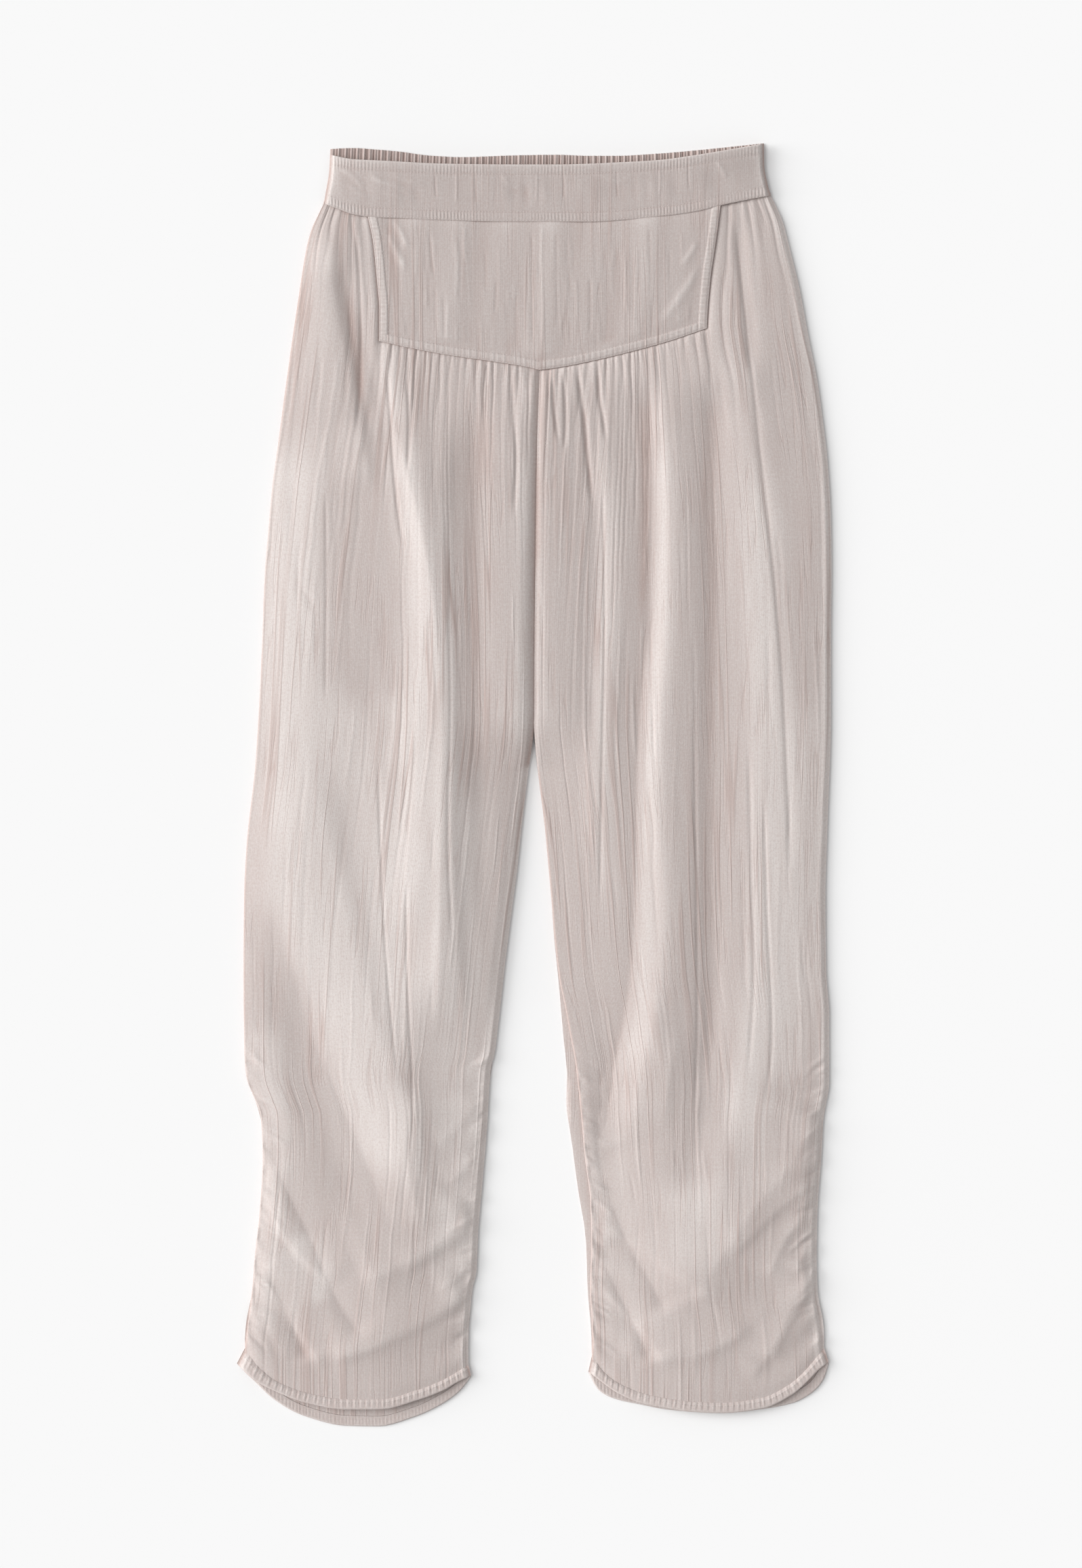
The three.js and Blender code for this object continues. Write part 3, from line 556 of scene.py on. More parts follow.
# sizes of the cut
cloth = {"front": 1.7, "back": 1.6, "band": 2.3, "hem": 2.1, "backHem": 2.0, "elasticLow": 1.7,
         "elasticHigh": 2.9, "layerGap": 0.32, "seamGap": 0.35}
frontFloor = cloth["back"] + cloth["layerGap"]
hemFloor = cloth["backHem"] + cloth["layerGap"]
bandFloor = cloth["elasticHigh"] + cloth["layerGap"]
levels = {"gatherEnd": 225, "evenFrom": 60, "crotch": 52, "uprightFrom": -130, "rucheTop": -206,
          "marksEnd": -428}

bandLines = [
    (-161.5, 447.5, 486.5, 489.5), (-150, 443, 483.2, 490.2), (-139, 439, 481, 490.6),
    (-124, 436.7, 480, 489.6), (-105, 435.8, 479, 488), (-80, 434.6, 477.6, 484.8),
    (-55, 433.9, 477, 483.6), (-17, 433.2, 476.6, 484.9), (17, 433.2, 476.6, 485.4),
    (42, 433, 477.2, 484.6), (62, 434, 478.1, 484.6), (95, 437.1, 480, 486.3),
    (122, 440.7, 483.6, 488.6), (148, 446.9, 488, 491.2), (181.5, 453.7, 494.3, 494.8)]
bandEnds = [(0, -161.5, 181.5), (0.25, -160, 179), (0.6, -157.6, 176.6), (1, -156.6, 176.4)]
yokeSides = [(450, -129.6, 143.6), (437, -127.4, 142), (419, -123.8, 139.6), (390, -120.8, 135.4),
             (365, -118.9, 133.2), (341, -119.1, 132)]
yokeHem = [(-119.1, 341.6), (-93, 335.8), (-68, 331.2), (-30, 325.6), (-5, 321.6), (4.2, 319.3),
           (22, 321.8), (49, 327.3), (75, 333.6), (102, 341), (132.1, 351.3)]
yoke = {"point": 4.2, "border": 7.0, "rise": 0.5, "top": 6.4}

seamOfBand = column(bandLines, 0, 1)
bandFrontTop = column(bandLines, 0, 2)
bandBackTop = column(bandLines, 0, 3)
bandLeft, bandRight = column(bandEnds, 0, 1), column(bandEnds, 0, 2)
yokeLeft, yokeRight = column(yokeSides, 0, 1), column(yokeSides, 0, 2)
yokeHemLeft = column([row for row in yokeHem if row[0] <= yoke["point"]], 0, 1)
yokeHemRight = column([row for row in yokeHem if row[0] >= yoke["point"]], 0, 1)


def yokeBottom(x):
    return np.where(x < yoke["point"], yokeHemLeft(x), yokeHemRight(x))


leftOuter = [
    (448, -161.6), (439, -166), (428, -171), (414, -174.8), (376, -181), (312, -190.3), (269, -196),
    (233, -201), (196, -204.4), (163, -207), (89, -210), (18, -214.2), (-46, -221), (-84, -222.8),
    (-139, -223.3), (-206, -222.6), (-223, -221), (-241, -214.2), (-251, -210.3), (-284, -208.6),
    (-327, -211), (-362, -214.8), (-388, -216.8), (-414, -220), (-431, -222.2)]
leftInner = [
    (322, 4), (265, 1.6), (187, 0.4), (83, -0.6), (52, -0.9), (28, -2.6), (3, -5.7), (-28, -9.4),
    (-62, -13), (-98, -17.7), (-140, -22.9), (-182, -27.6), (-206, -30.7), (-216, -33.3),
    (-263, -36.4), (-306, -40), (-344, -43.2), (-372, -44.4), (-385, -47.3), (-396, -48.6),
    (-435, -51), (-444, -50.6)]
rightInner = [
    (322, 4), (265, 1.6), (187, 0.4), (83, -0.6), (52, -0.6), (28, 1), (0, 4.2), (-28, 7.8),
    (-56, 10.4), (-91, 13.5), (-114, 15.3), (-150, 19.6), (-166, 23), (-191, 27.6), (-210, 31.2),
    (-247, 35.4), (-283, 38.6), (-320, 43), (-353, 43.8), (-385, 42.8), (-424, 44.6), (-437, 44.2)]
rightInnerBack = [
    (322, 4), (265, 1.6), (187, 0.4), (83, -0.6), (52, -0.6), (28, 1), (0, 4.2), (-28, 7.8),
    (-56, 10.4), (-91, 13.5), (-114, 15.1), (-150, 18.7), (-197, 22.9), (-221, 25.3), (-242, 24.7),
    (-271, 28.6), (-310, 33.8), (-349, 39.8), (-385, 41), (-424, 43.6), (-437, 42.6)]
rightOuter = [
    (454, 181.6), (446, 185.6), (434, 190.8), (414, 196), (382, 203.8), (343, 211.1), (315, 216.8),
    (282, 221.5), (250, 225.2), (204, 227.8), (167, 228.3), (111, 227.8), (54, 227.8), (-28, 225.2),
    (-84, 223.6), (-140, 224.1), (-176, 226.5), (-226, 226.5), (-256, 222), (-284, 220.5),
    (-327, 217.4), (-360, 216.8), (-392, 217.9), (-414, 221), (-431, 222.6)]
hemNames = ("seamX", "seamY", "edgeX", "edgeY", "backX", "backY")
leftHem = [
    (-222.2, -431, -228.3, -442.8, -228.3, -443.4), (-211, -445.5, -215.3, -454.7, -215.5, -456),
    (-196, -456.6, -198, -463.8, -200, -470.5), (-174, -464.7, -175.5, -472.2, -178, -482.8),
    (-145, -469.4, -145, -477.4, -146, -490.7), (-117, -469.3, -117, -477.2, -120, -491.3),
    (-91, -463, -90.5, -470.7, -92, -484), (-72, -456, -71, -463.7, -72, -474.8),
    (-60, -449.5, -58.2, -456.6, -58, -464.8), (-50.6, -443.6, -48.4, -452.1, -48.6, -453.4)]
rightHem = [
    (44.2, -437, 41.6, -449, 41.6, -449.6), (54, -449.6, 52.5, -457.4, 49.6, -463.4),
    (66, -458.2, 65, -465.7, 61.5, -470), (83, -465, 82, -472.7, 81.1, -474.4),
    (103, -469, 102, -476.5, 102, -478.4), (122, -471.3, 121, -479.2, 122, -480.2),
    (145, -472, 145, -480.2, 145, -481.2), (175, -468.5, 176, -476.6, 177, -477.8),
    (195, -459, 198, -466.3, 199, -473.2), (206.5, -449.4, 210.4, -455.6, 214.6, -464.4),
    (214.5, -440.4, 218.4, -447.4, 222, -455.4), (222.6, -431, 226, -441.6, 226.2, -443.6)]
leftSwell = [
    (450, 1.2, 10, 8), (400, 3.4, 24, 16), (312, 5.4, 36, 18), (200, 7, 42, 18), (52, 8.4, 44, 20),
    (-100, 9.4, 46, 24), (-206, 9.4, 30, 26), (-300, 8.6, 20, 22), (-400, 7, 15, 16),
    (-450, 4.6, 10, 10)]
rightSwell = [
    (455, 1.2, 10, 8), (400, 3.4, 20, 16), (312, 5.4, 26, 18), (200, 7, 34, 18), (52, 8.4, 36, 22),
    (-100, 9.2, 36, 30), (-206, 9.2, 30, 24), (-300, 8.6, 24, 18), (-400, 7, 18, 15),
    (-450, 4.6, 10, 10)]

# Folds: path down the leg, rise, reach of its right and left flank seen along it, fade at its ends
leftFolds = [
    ([(-159, 436), (-157, 395), (-150, 349), (-140, 307), (-134, 266), (-126, 219)], 5.4, 20, 8, 30),
    ([(-141, 400), (-132, 349), (-121, 307), (-112, 266), (-107, 235)], -2.4, 6, 7, 45),
    ([(-107, 333), (-99, 292), (-91, 240), (-85, 188), (-83, 136), (-86, 84), (-90, 32), (-91, -46),
      (-98, -124)], 4, 13, 13, 40),
    ([(-69, 300), (-69, 240), (-71, 188), (-69, 136), (-66, 84), (-64, -46), (-60, -124),
      (-54, -192)], 4.8, 28, 7, 60),
    ([(-45, 312), (-46, 188), (-43, 84), (-41, -46), (-38, -124)], -2.6, 8, 8, 50),
    ([(-22, 300), (-22, 188), (-21, 84), (-22, 0)], 2, 13, 13, 50),
    ([(-181, 32), (-165, -20), (-152, -72), (-139, -124), (-126, -176), (-106, -228), (-92, -280),
      (-80, -327)], 5.2, 36, 14, 60),
    ([(-208, -72), (-194, -150), (-173, -228), (-150, -291), (-126, -348)], -4, 18, 14, 50),
    ([(-212, -284), (-200, -324), (-187, -348), (-164, -372), (-150, -386)], 3.2, 4.5, 24, 16),
    ([(-104, -372), (-77, -355), (-60, -344), (-43, -326)], 2.8, 5, 22, 16),
    ([(-214, -358), (-197, -389), (-181, -413), (-169, -430), (-160, -450)], 3.2, 4.5, 22, 16),
    ([(-156, -437), (-129, -429), (-107, -417), (-77, -403), (-44, -381)], 2.8, 6, 22, 18),
    ([(-214, -336), (-193, -348), (-181, -358)], -1.6, 4, 4, 10),
    ([(-216, -398), (-204, -420), (-196, -440)], -1.2, 3, 4, 10)]
rightFolds = [
    ([(47, 312), (50, 266), (58, 208), (61, 162), (57, 110), (50, 32), (44, -72)], 3, 9, 13, 50),
    ([(97, 323), (102, 266), (105, 188), (102, 110), (97, 42), (97, -20), (102, -98), (96, -166),
      (82, -228), (71, -280)], 5, 9, 16, 40),
    ([(139, 333), (136, 240), (137, 162), (136, 84), (134, 6), (134, -98), (134, -187),
      (121, -249)], -3.6, 9, 9, 50),
    ([(154, 359), (160, 281), (167, 188), (175, 84), (175, -20), (173, -124), (167, -202),
      (152, -280), (134, -348)], 4.6, 16, 32, 50),
    ([(156, 440), (160, 396), (164, 359), (168, 312)], -4, 5, 5, 25),
    ([(168, 312), (175, 240), (188, 136), (195, 6), (198, -72)], -1.4, 4, 4, 40),
    ([(146, -360), (167, -341), (188, -321), (224, -294)], 3.2, 5, 24, 18),
    ([(160, -455), (174, -441), (188, -417), (198, -396), (219, -368)], 3.2, 5, 20, 16),
    ([(41, -322), (68, -344), (92, -358), (109, -372), (133, -383)], 2.6, 5, 20, 18),
    ([(41, -366), (64, -396), (82, -413), (95, -430), (104, -448)], 3.0, 4.5, 20, 16),
    ([(112, -434), (140, -428), (166, -408), (184, -386)], 1.6, 7, 20, 22),
    ([(220, -330), (204, -342), (190, -352)], -1.4, 4, 4, 10)]


def gatherShares(count, seed):
    steps = uneven(np.arange(count * 2) + seed, 0.7, 1.3)
    return np.concatenate([[0], np.cumsum(steps) / steps.sum()])


def hemCurves(hem):
    first, last = hem[0][0], hem[-1][0]
    shares = [(row[0] - first) / (last - first) for row in hem]
    lines = {name: through(shares, [row[i] for row in hem]) for i, name in enumerate(hemNames)}
    lines["backSeamX"] = through(shares, [row[4] + row[0] - row[2] for row in hem])
    lines["backSeamY"] = through(shares, [row[5] + row[1] - row[3] for row in hem])
    return lines

# legs, front
far = 400  # further than any point lies from an edge
legCloth = {
    "perGather": 6, "sideRows": 36, "gatherRows": 44, "thighRows": 108, "rucheRows": 132,
    "sideGathers": 6, "yokeGathers": 18, "sideSeed": 3, "sidePart": 0.38, "crowding": 0.3,
    "tuck": 2.5, "ruches": 10, "rucheSize": (0.9, 1.9), "rucheShare": 0.4, "overlap": 1.6,
    "underHem": 2.2, "dips": (1.2, 2.2), "room": 0.4, "moreRoom": 0.9, "least": 0.9,
    "lines": 110, "lineRise": (0.08, 0.32), "lineReach": (0.15, 0.26),
    "crinkles": 26, "crinkleRise": (0.1, 0.3), "crinkleReach": (0.9, 1.5),
    "seamRows": (1.8, 7.0), "foldShare": 0.35, "swellShare": 0.74,
    "rightEdge": 0.06, "leftEdge": 0.1, "edgeReach": 2.5, "tapers": (0.6, 4.5),
    # painted shade along the lit edges and painted light along the shaded edges, then the scales of the
    # painted shading in troughs and on crests
    "litRimPaintedShade": 0.4, "rimReach": 1.8, "shadedRimPaintedLight": 0.55, "shadeReach": 8.0,
    "paintedShadingScales": ((0.3, 6, 2, 0.9), (0.4, 26, 8, 3.2), (0.3, 80, 20, 5.0)),
}
gathers = {
    "size": (0.3, 1.5), "reach": (18, 90), "rise": 1.05, "roundness": 0.7, "middle": 0.62,
    "fall": 1.2, "pucker": 0.16, "puckerReach": 6,
}

# Puffs and valleys: path, rise, right flank, left flank, fade, bluntness
leftForms = [
    ([(-146, 406), (-144, 375), (-138, 338), (-133, 307), (-126, 265)], -2.4, 14, 9, 24, 1.5),
    ([(-111, 297), (-98, 245), (-86, 198), (-77, 146), (-72, 94), (-70, 31), (-71, -47),
      (-72, -125), (-74, -197)], 4.4, 19, 56, 60, 1.6),
    ([(-46, 312), (-43, 229), (-42, 135), (-42, 31), (-42, -52)], -1.0, 16, 20, 60, 6),
    ([(-203, -88), (-186, -140), (-170, -192), (-150, -239), (-132, -281), (-113, -327),
      (-97, -366)], -3.4, 26, 24, 80, 2.5),
    ([(-119, 135), (-126, 73), (-134, 5), (-144, -52), (-139, -104)], -1.0, 30, 24, 60, 6),
    ([(-88, -223), (-96, -275), (-92, -312), (-83, -348)], 2.2, 14, 30, 24, 2),
    ([(-213, -249), (-204, -275), (-191, -307), (-173, -343), (-160, -374), (-147, -400),
      (-129, -424)], -1.9, 9, 14, 14, 1.2),
    ([(-213, -359), (-202, -379), (-186, -411), (-173, -442)], -2.0, 7, 12, 10, 1.2),
    ([(-134, -379), (-103, -366), (-72, -348), (-44, -322)], 2.0, 9, 28, 14, 3),
    ([(-160, -438), (-129, -431), (-103, -421), (-72, -405), (-46, -387)], 1.9, 8, 24, 14, 2.5),
    ([(-77, -275), (-60, -262), (-42, -239)], 0.7, 5, 12, 10, 2),
    ([(-69, -307), (-56, -295), (-43, -281)], 0.8, 4, 9, 10, 1.5),
    ([(-77, -387), (-60, -377), (-45, -359)], 0.9, 4, 9, 10, 1.5),
    ([(-186, 312), (-187, 239), (-185, 156)], -1.0, 10, 8, 60, 2),
]
rightForms = [
    ([(88, 320), (89, 271), (90, 219), (89, 167), (88, 125), (83, 83), (79, 31), (78, -21),
      (77, -73), (75, -125), (69, -177), (57, -229), (48, -275), (45, -304)], -3.8, 30, 13, 34, 1.4),
    ([(142, 320), (144, 271), (145, 219), (146, 167), (147, 115), (145, 31), (142, -47),
      (140, -125), (137, -187), (132, -239), (119, -291), (110, -322)], -3.2, 32, 26, 40, 5),
    ([(44, 323), (47, 239), (48, 187), (46, 135), (44, 83), (44, 21)], -1.9, 18, 14, 40, 1.6),
    ([(164, 427), (167, 312), (179, 187), (189, 83), (196, -21), (197, -125)], 0.8, 15, 20, 60, 1.6),
    ([(218, -244), (205, -275), (188, -301), (168, -323), (152, -348), (134, -374),
      (126, -400)], 2.8, 30, 30, 16, 2.5),
    ([(46, -275), (57, -312), (71, -348), (89, -379), (102, -405)], -2.2, 9, 22, 12, 1.4),
    ([(46, -348), (60, -379), (76, -411), (90, -443)], -1.9, 7, 16, 10, 1.2),
    ([(219, -304), (206, -327), (189, -353), (178, -379)], 1.7, 14, 9, 12, 1.5),
    ([(219, -368), (205, -395), (189, -424), (181, -443)], 1.9, 16, 9, 10, 1.5),
    ([(220, -338), (210, -352), (199, -374)], 0.9, 8, 5, 10, 1.2),
    ([(61, -429), (89, -437), (121, -436), (149, -424), (167, -411)], 1.4, 7, 20, 16, 2),
    ([(110, -177), (102, -229), (97, -270)], 1.5, 14, 12, 30, 2),
]

# Painted light on the cloth's puffs (below 0) and painted shade in its valleys (above 0)
leftPaintedLightAndShade = [
    ([(-189, 291), (-189, 187), (-187, 83), (-181, -10), (-170, -83), (-147, -166), (-125, -249),
      (-104, -327)], -0.42, 30, 28, 60),
    ([(-102, 271), (-86, 187), (-82, 109), (-87, 5), (-96, -99), (-98, -177)], -0.34, 22, 7, 60),
    ([(-150, 94), (-139, 31), (-126, -31), (-119, -99), (-113, -166), (-103, -229)], -0.36, 22, 24, 50),
    ([(-116, 354), (-111, 312), (-103, 271)], -0.26, 7, 8, 20),
    ([(-144, 395), (-140, 359), (-135, 312), (-130, 276)], 0.3, 6, 5, 40),
    ([(-62, 323), (-55, 239), (-51, 135), (-51, 31), (-51, -62)], 0.14, 9, 14, 80),
    ([(-33, 312), (-34, 265), (-31, 208)], 0.25, 12, 12, 40),
    ([(-6, 271), (-8, 208), (-9, 146), (-10, 60), (-14, 0)], -0.2, 7, 6, 40),
    ([(-66, 240), (-64, 150), (-64, 60), (-66, -20)], -0.24, 9, 10, 50),
    ([(-118, 90), (-108, 50), (-104, 0)], -0.2, 14, 14, 30),
    ([(-160, -400), (-167, -374), (-181, -338)], -0.36, 14, 14, 14),
    ([(-213, -166), (-206, -255), (-204, -359), (-197, -431)], -0.22, 30, 34, 30),
    ([(-52, 40), (-56, -60), (-60, -177), (-58, -249), (-57, -333), (-61, -416)], -0.42, 26, 24, 60),
]
rightPaintedLightAndShade = [
    ([(96, 291), (97, 187), (94, 109), (87, 5), (85, -99), (79, -177), (61, -249)], -0.32, 5, 8, 60),
    ([(168, 271), (172, 187), (176, 83), (178, -21), (177, -125), (165, -208),
      (141, -291)], -0.3, 14, 22, 70),
    ([(205, 100), (204, 0), (202, -100), (198, -190), (185, -270)], -0.3, 20, 16, 70),
    ([(158, -225), (172, -280), (164, -325)], -0.24, 16, 16, 30),
    ([(131, 312), (133, 239), (135, 135), (132, 31), (130, -73), (128, -151)], 0.12, 8, 6, 80),
    ([(84, 312), (85, 239), (84, 161), (80, 109)], 0.26, 5, 3, 50),
    ([(33, 302), (35, 219), (33, 135)], 0.12, 7, 6, 60),
    ([(52, 281), (54, 187), (53, 83), (53, -21), (53, -125)], -0.22, 8, 16, 60),
    ([(4, 271), (3, 208), (2, 146)], 0.4, 5, 7, 40),
    ([(115, -281), (128, -333), (118, -385)], -0.34, 28, 24, 40),
    ([(210, -301), (200, -338), (188, -374), (183, -416)], -0.1, 14, 20, 40),
    ([(50, -249), (58, -333), (66, -395), (89, -437)], -0.24, 18, 24, 30),
]

# Finer creases: path, rise, right flank, left flank, fade
leftCreases = [
    ([(-160, 228), (-159.5, 150), (-160, 64)], -0.5, 0.9, 1.2, 18),
    ([(-181, 155), (-173, 143), (-165, 132)], -0.6, 1.4, 1.6, 8),
    ([(-113, 322), (-110, 280), (-106, 225), (-100, 180)], -0.8, 1.4, 1.6, 20),
    ([(-98, 318), (-96, 285), (-97, 240)], -0.7, 1.3, 1.5, 16),
    ([(-137, 430), (-134, 385), (-133, 330), (-136, 270)], -0.9, 1.4, 1.8, 20),
    ([(-66, 150), (-64, 60), (-66, -40), (-62, -130)], -0.5, 1.2, 1.4, 40),
    ([(-120, 30), (-117, -60), (-112, -150), (-104, -230)], -0.5, 1.1, 1.4, 40),
    ([(-98, -60), (-97, -150), (-93, -240), (-96, -300)], -0.55, 1.1, 1.4, 40),
    ([(-17, 316), (-16, 285), (-14, 250), (-16, 205)], -0.9, 1.6, 1.8, 20),
]
rightCreases = [
    ([(154, 436), (167, 311), (181, 186), (190, 82), (197, -74)], -0.5, 1.2, 1.6, 40),
    ([(164, 40), (166, -60), (168, -150), (163, -230)], -0.6, 1.1, 1.4, 40),
    ([(176, 0), (178, -90), (182, -190), (176, -250)], -0.6, 1.1, 1.4, 40),
    ([(122, 60), (124, -60), (125, -180), (122, -260)], -0.5, 1.1, 1.4, 40),
    ([(52, 240), (54, 130), (52, 20), (50, -100)], -0.5, 1.1, 1.4, 40),
    ([(33, 321), (37, 290), (41, 252), (44, 215)], -1.5, 1.8, 2.2, 18),
    ([(14, 318), (15, 290), (19, 262)], -1.0, 1.4, 1.6, 14),
    ([(22, 319), (24, 284), (23, 255)], -0.9, 1.4, 1.6, 14),
    ([(48, 324), (50, 300), (56, 262)], -1.1, 1.6, 1.8, 16),
]

legs = {
    "left": {"west": column(leftOuter, 0, 1), "east": column(leftInner, 0, 1), "hem": hemCurves(leftHem),
             "backWest": column(leftOuter, 0, 1), "backEast": column(leftInner, 0, 1),
             "swell": leftSwell, "folds": leftFolds, "forms": leftForms, "paintedLightAndShade": leftPaintedLightAndShade,
             "creases": leftCreases, "outerIsLeft": True, "seed": 20,
             "crinkleSeed": 11, "lineSeed": 101, "markSeed": 7},
    "right": {"west": column(rightInner, 0, 1), "east": column(rightOuter, 0, 1),
              "hem": hemCurves(rightHem), "backWest": column(rightInnerBack, 0, 1),
              "backEast": column(rightOuter, 0, 1), "swell": rightSwell, "folds": rightFolds,
              "forms": rightForms, "paintedLightAndShade": rightPaintedLightAndShade, "creases": rightCreases,
              "outerIsLeft": False, "seed": 70, "crinkleSeed": 29, "lineSeed": 202, "markSeed": 8},
}


def gappedSides(leg, west, east):  # a leg's edges, with half the seam's gap between the legs
    def gapAt(y):
        return np.where(y > levels["crotch"], cloth["seamGap"] / 2, 0)

    def westOf(y):
        return leg[west](y) + (0 if leg["outerIsLeft"] else gapAt(y))

    def eastOf(y):
        return leg[east](y) - (gapAt(y) if leg["outerIsLeft"] else 0)
    return westOf, eastOf


def crinkles(leg, x, y, west, east):
    rng = np.random.default_rng(leg["crinkleSeed"])
    total = np.zeros(x.shape)
    low, high = legCloth["crinkleRise"]
    thin, wide = legCloth["crinkleReach"]
    for _ in range(legCloth["crinkles"]):
        startY = rng.uniform(-430, 330)
        length = 25 + 135 * rng.random() ** 1.7
        count = max(3, int(length / 16))
        share = rng.beta(1.3, 1.3)
        ys = startY - np.linspace(0, length, count)
        drift = np.cumsum(rng.normal(0, 0.8, count)) + rng.normal(0, 0.03) * (startY - ys)
        xs = mix(west(ys), east(ys), share) + drift
        rise = rng.uniform(low, high) * rng.choice([-1, 1], p=[0.45, 0.55])
        flank = rng.uniform(thin, wide)
        total += pathRise(x, y, list(zip(xs, ys)), rise, flank, flank * rng.uniform(0.7, 1.4),
                          length * 0.35, parts=3)
    return total


def longLines(leg, q, y, last):  # thin creases that follow the cloth's own grain down the leg
    rng = np.random.default_rng(leg["lineSeed"])
    total = np.zeros(y.shape)
    low, high = legCloth["lineRise"]
    thin, wide = legCloth["lineReach"]
    for number in range(legCloth["lines"]):
        atSeam = number % 3 == 0
        start = 330 if atSeam else rng.uniform(-330, 300)
        length = 40 + 230 * rng.random() ** 1.4
        here = last * rng.beta(1.15, 1.15)
        phase, turn, lean = rng.uniform(0, 6), rng.uniform(14, 40), rng.normal(0, 0.0022)
        centre = (here + 0.13 * np.sin(y / turn + phase) + 0.05 * np.sin(y / 4.7 + phase)
                  + lean * (start - y))
        rise = rng.uniform(low, high) * (-1 if rng.random() < (0.75 if atSeam else 0.45) else 1)
        ends = (ease((start - y) / (6 if atSeam else 0.3 * length))
                * ease((y - start + length) / (0.4 * length)))
        total += rise * ends * bell(q - centre, rng.uniform(thin, wide))
    return total


def rucheMarks(leg, x, y, west, east):  # short puckers that run in from the drawn-up seams
    rng = np.random.default_rng(leg["markSeed"])
    total = np.zeros(x.shape)
    for edge, inwards in ((west, 1), (east, -1)):
        at = levels["rucheTop"] + 8
        while at > levels["marksEnd"]:
            length, slope = 7 + 26 * rng.random() ** 1.6, rng.uniform(0.05, 0.8)
            path = [(float(edge(at)) + inwards * (length * s - 5), at - slope * length * s ** 1.3)
                    for s in (0, 0.3, 0.6, 1)]
            rise = rng.uniform(0.35, 0.85) * (1 if rng.random() < 0.55 else -0.9)
            total += pathRise(x, y, path, rise, rng.uniform(1.0, 1.6), rng.uniform(1.2, 2.2),
                              length * 0.5, parts=4)
            at -= rng.uniform(3.2, 7.5)
    return total


def allRises(x, y, paths):
    return sum(pathRise(x, y, *path) for path in paths)


def layOut(leg):  # where the front leg's grid lies, and how strongly each row is ruched
    outerIsLeft, hem = leg["outerIsLeft"], leg["hem"]
    westOf, eastOf = gappedSides(leg, "west", "east")
    sideShares = gatherShares(legCloth["sideGathers"], legCloth["sideSeed"])
    yokeShares = gatherShares(legCloth["yokeGathers"], leg["seed"])
    last = len(sideShares) + len(yokeShares) - 2
    split = len(sideShares if outerIsLeft else yokeShares) - 1
    q = np.arange(last * legCloth["perGather"] + 1) / legCloth["perGather"]
    columns = len(q)
    sidePart = legCloth["sidePart"] if outerIsLeft else 1 - legCloth["sidePart"]
    even = crowded(np.interp(q, [0, split, last], [0, sidePart, 1]), legCloth["crowding"])
    tuck = legCloth["tuck"]
    corner = (yokeHem[0][1] if outerIsLeft else yokeHem[-1][1]) + tuck
    gap = cloth["seamGap"] / 2
    seamX = yoke["point"] + (-gap if outerIsLeft else gap)
    if outerIsLeft:
        onSide = q <= split
        shareSide = np.interp(q, np.arange(len(sideShares)), sideShares)
        shareYoke = np.interp(q - split, np.arange(len(yokeShares)), yokeShares)
    else:
        onSide = q >= split
        shareSide = np.interp(q - split, np.arange(len(sideShares)), 1 - sideShares[::-1])
        shareYoke = np.interp(q, np.arange(len(yokeShares)), yokeShares)

    def yokeSide(y):
        return yokeLeft(y) + tuck if outerIsLeft else yokeRight(y) - tuck

    def sideX(y):  # beside the yoke, from the leg's outer edge to the yoke
        if outerIsLeft:
            return mix(westOf(y), yokeSide(y), shareSide)
        return mix(yokeSide(y), eastOf(y), shareSide)

    underYoke = (mix(yokeSide(corner), seamX, shareYoke) if outerIsLeft
                 else mix(seamX, yokeSide(corner), shareYoke))
    topX = np.where(onSide, sideX(corner), underYoke)
    topY = np.where(onSide, corner, yokeBottom(topX) + tuck)
    topShare = (topX - westOf(topY)) / (eastOf(topY) - westOf(topY))

    def placeAt(y):
        spread = ease((corner - y) / (corner - levels["evenFrom"]))
        return mix(westOf(y), eastOf(y), mix(topShare, even, spread))

    rows = []
    for i in range(legCloth["sideRows"]):
        x = np.full(columns, -150.0 if outerIsLeft else 160.0)
        for _ in range(4):  # the band's seam bends, so x and y settle in a few turns
            y = mix(seamOfBand(x) + tuck, corner, i / legCloth["sideRows"])
            x = sideX(y)
        rows.append((x, y, np.zeros(columns)))
    for i in range(legCloth["gatherRows"]):
        y = mix(topY, levels["gatherEnd"], (i / legCloth["gatherRows"]) ** 1.2)
        rows.append((topX if i == 0 else placeAt(y), y, np.zeros(columns)))
    for i in range(legCloth["thighRows"]):
        y = np.full(columns, mix(levels["gatherEnd"], levels["rucheTop"], i / legCloth["thighRows"]))
        rows.append((placeAt(y), y, np.zeros(columns)))
    turns = legCloth["ruches"] * 2
    points = np.arange(turns + 1)
    for i in range(legCloth["rucheRows"] + 1):
        down = i / legCloth["rucheRows"]
        seamY = hem["seamY"](even) - legCloth["underHem"] * ease((down - 0.9) / 0.1)
        y = mix(levels["rucheTop"], seamY, down)
        x = mix(mix(westOf(y), eastOf(y), even), hem["seamX"](even), ease((down - 0.8) / 0.2))
        phase = down * turns
        size = np.interp(phase, points, uneven(points + 40, *legCloth["rucheSize"]))
        wave = -math.cos(math.pi * phase) * size * ease(phase) * ease(turns - phase)
        rows.append((x, y, np.full(columns, wave)))
    return [np.array(part) for part in zip(*rows)] + [q, even, last, split, westOf, eastOf]


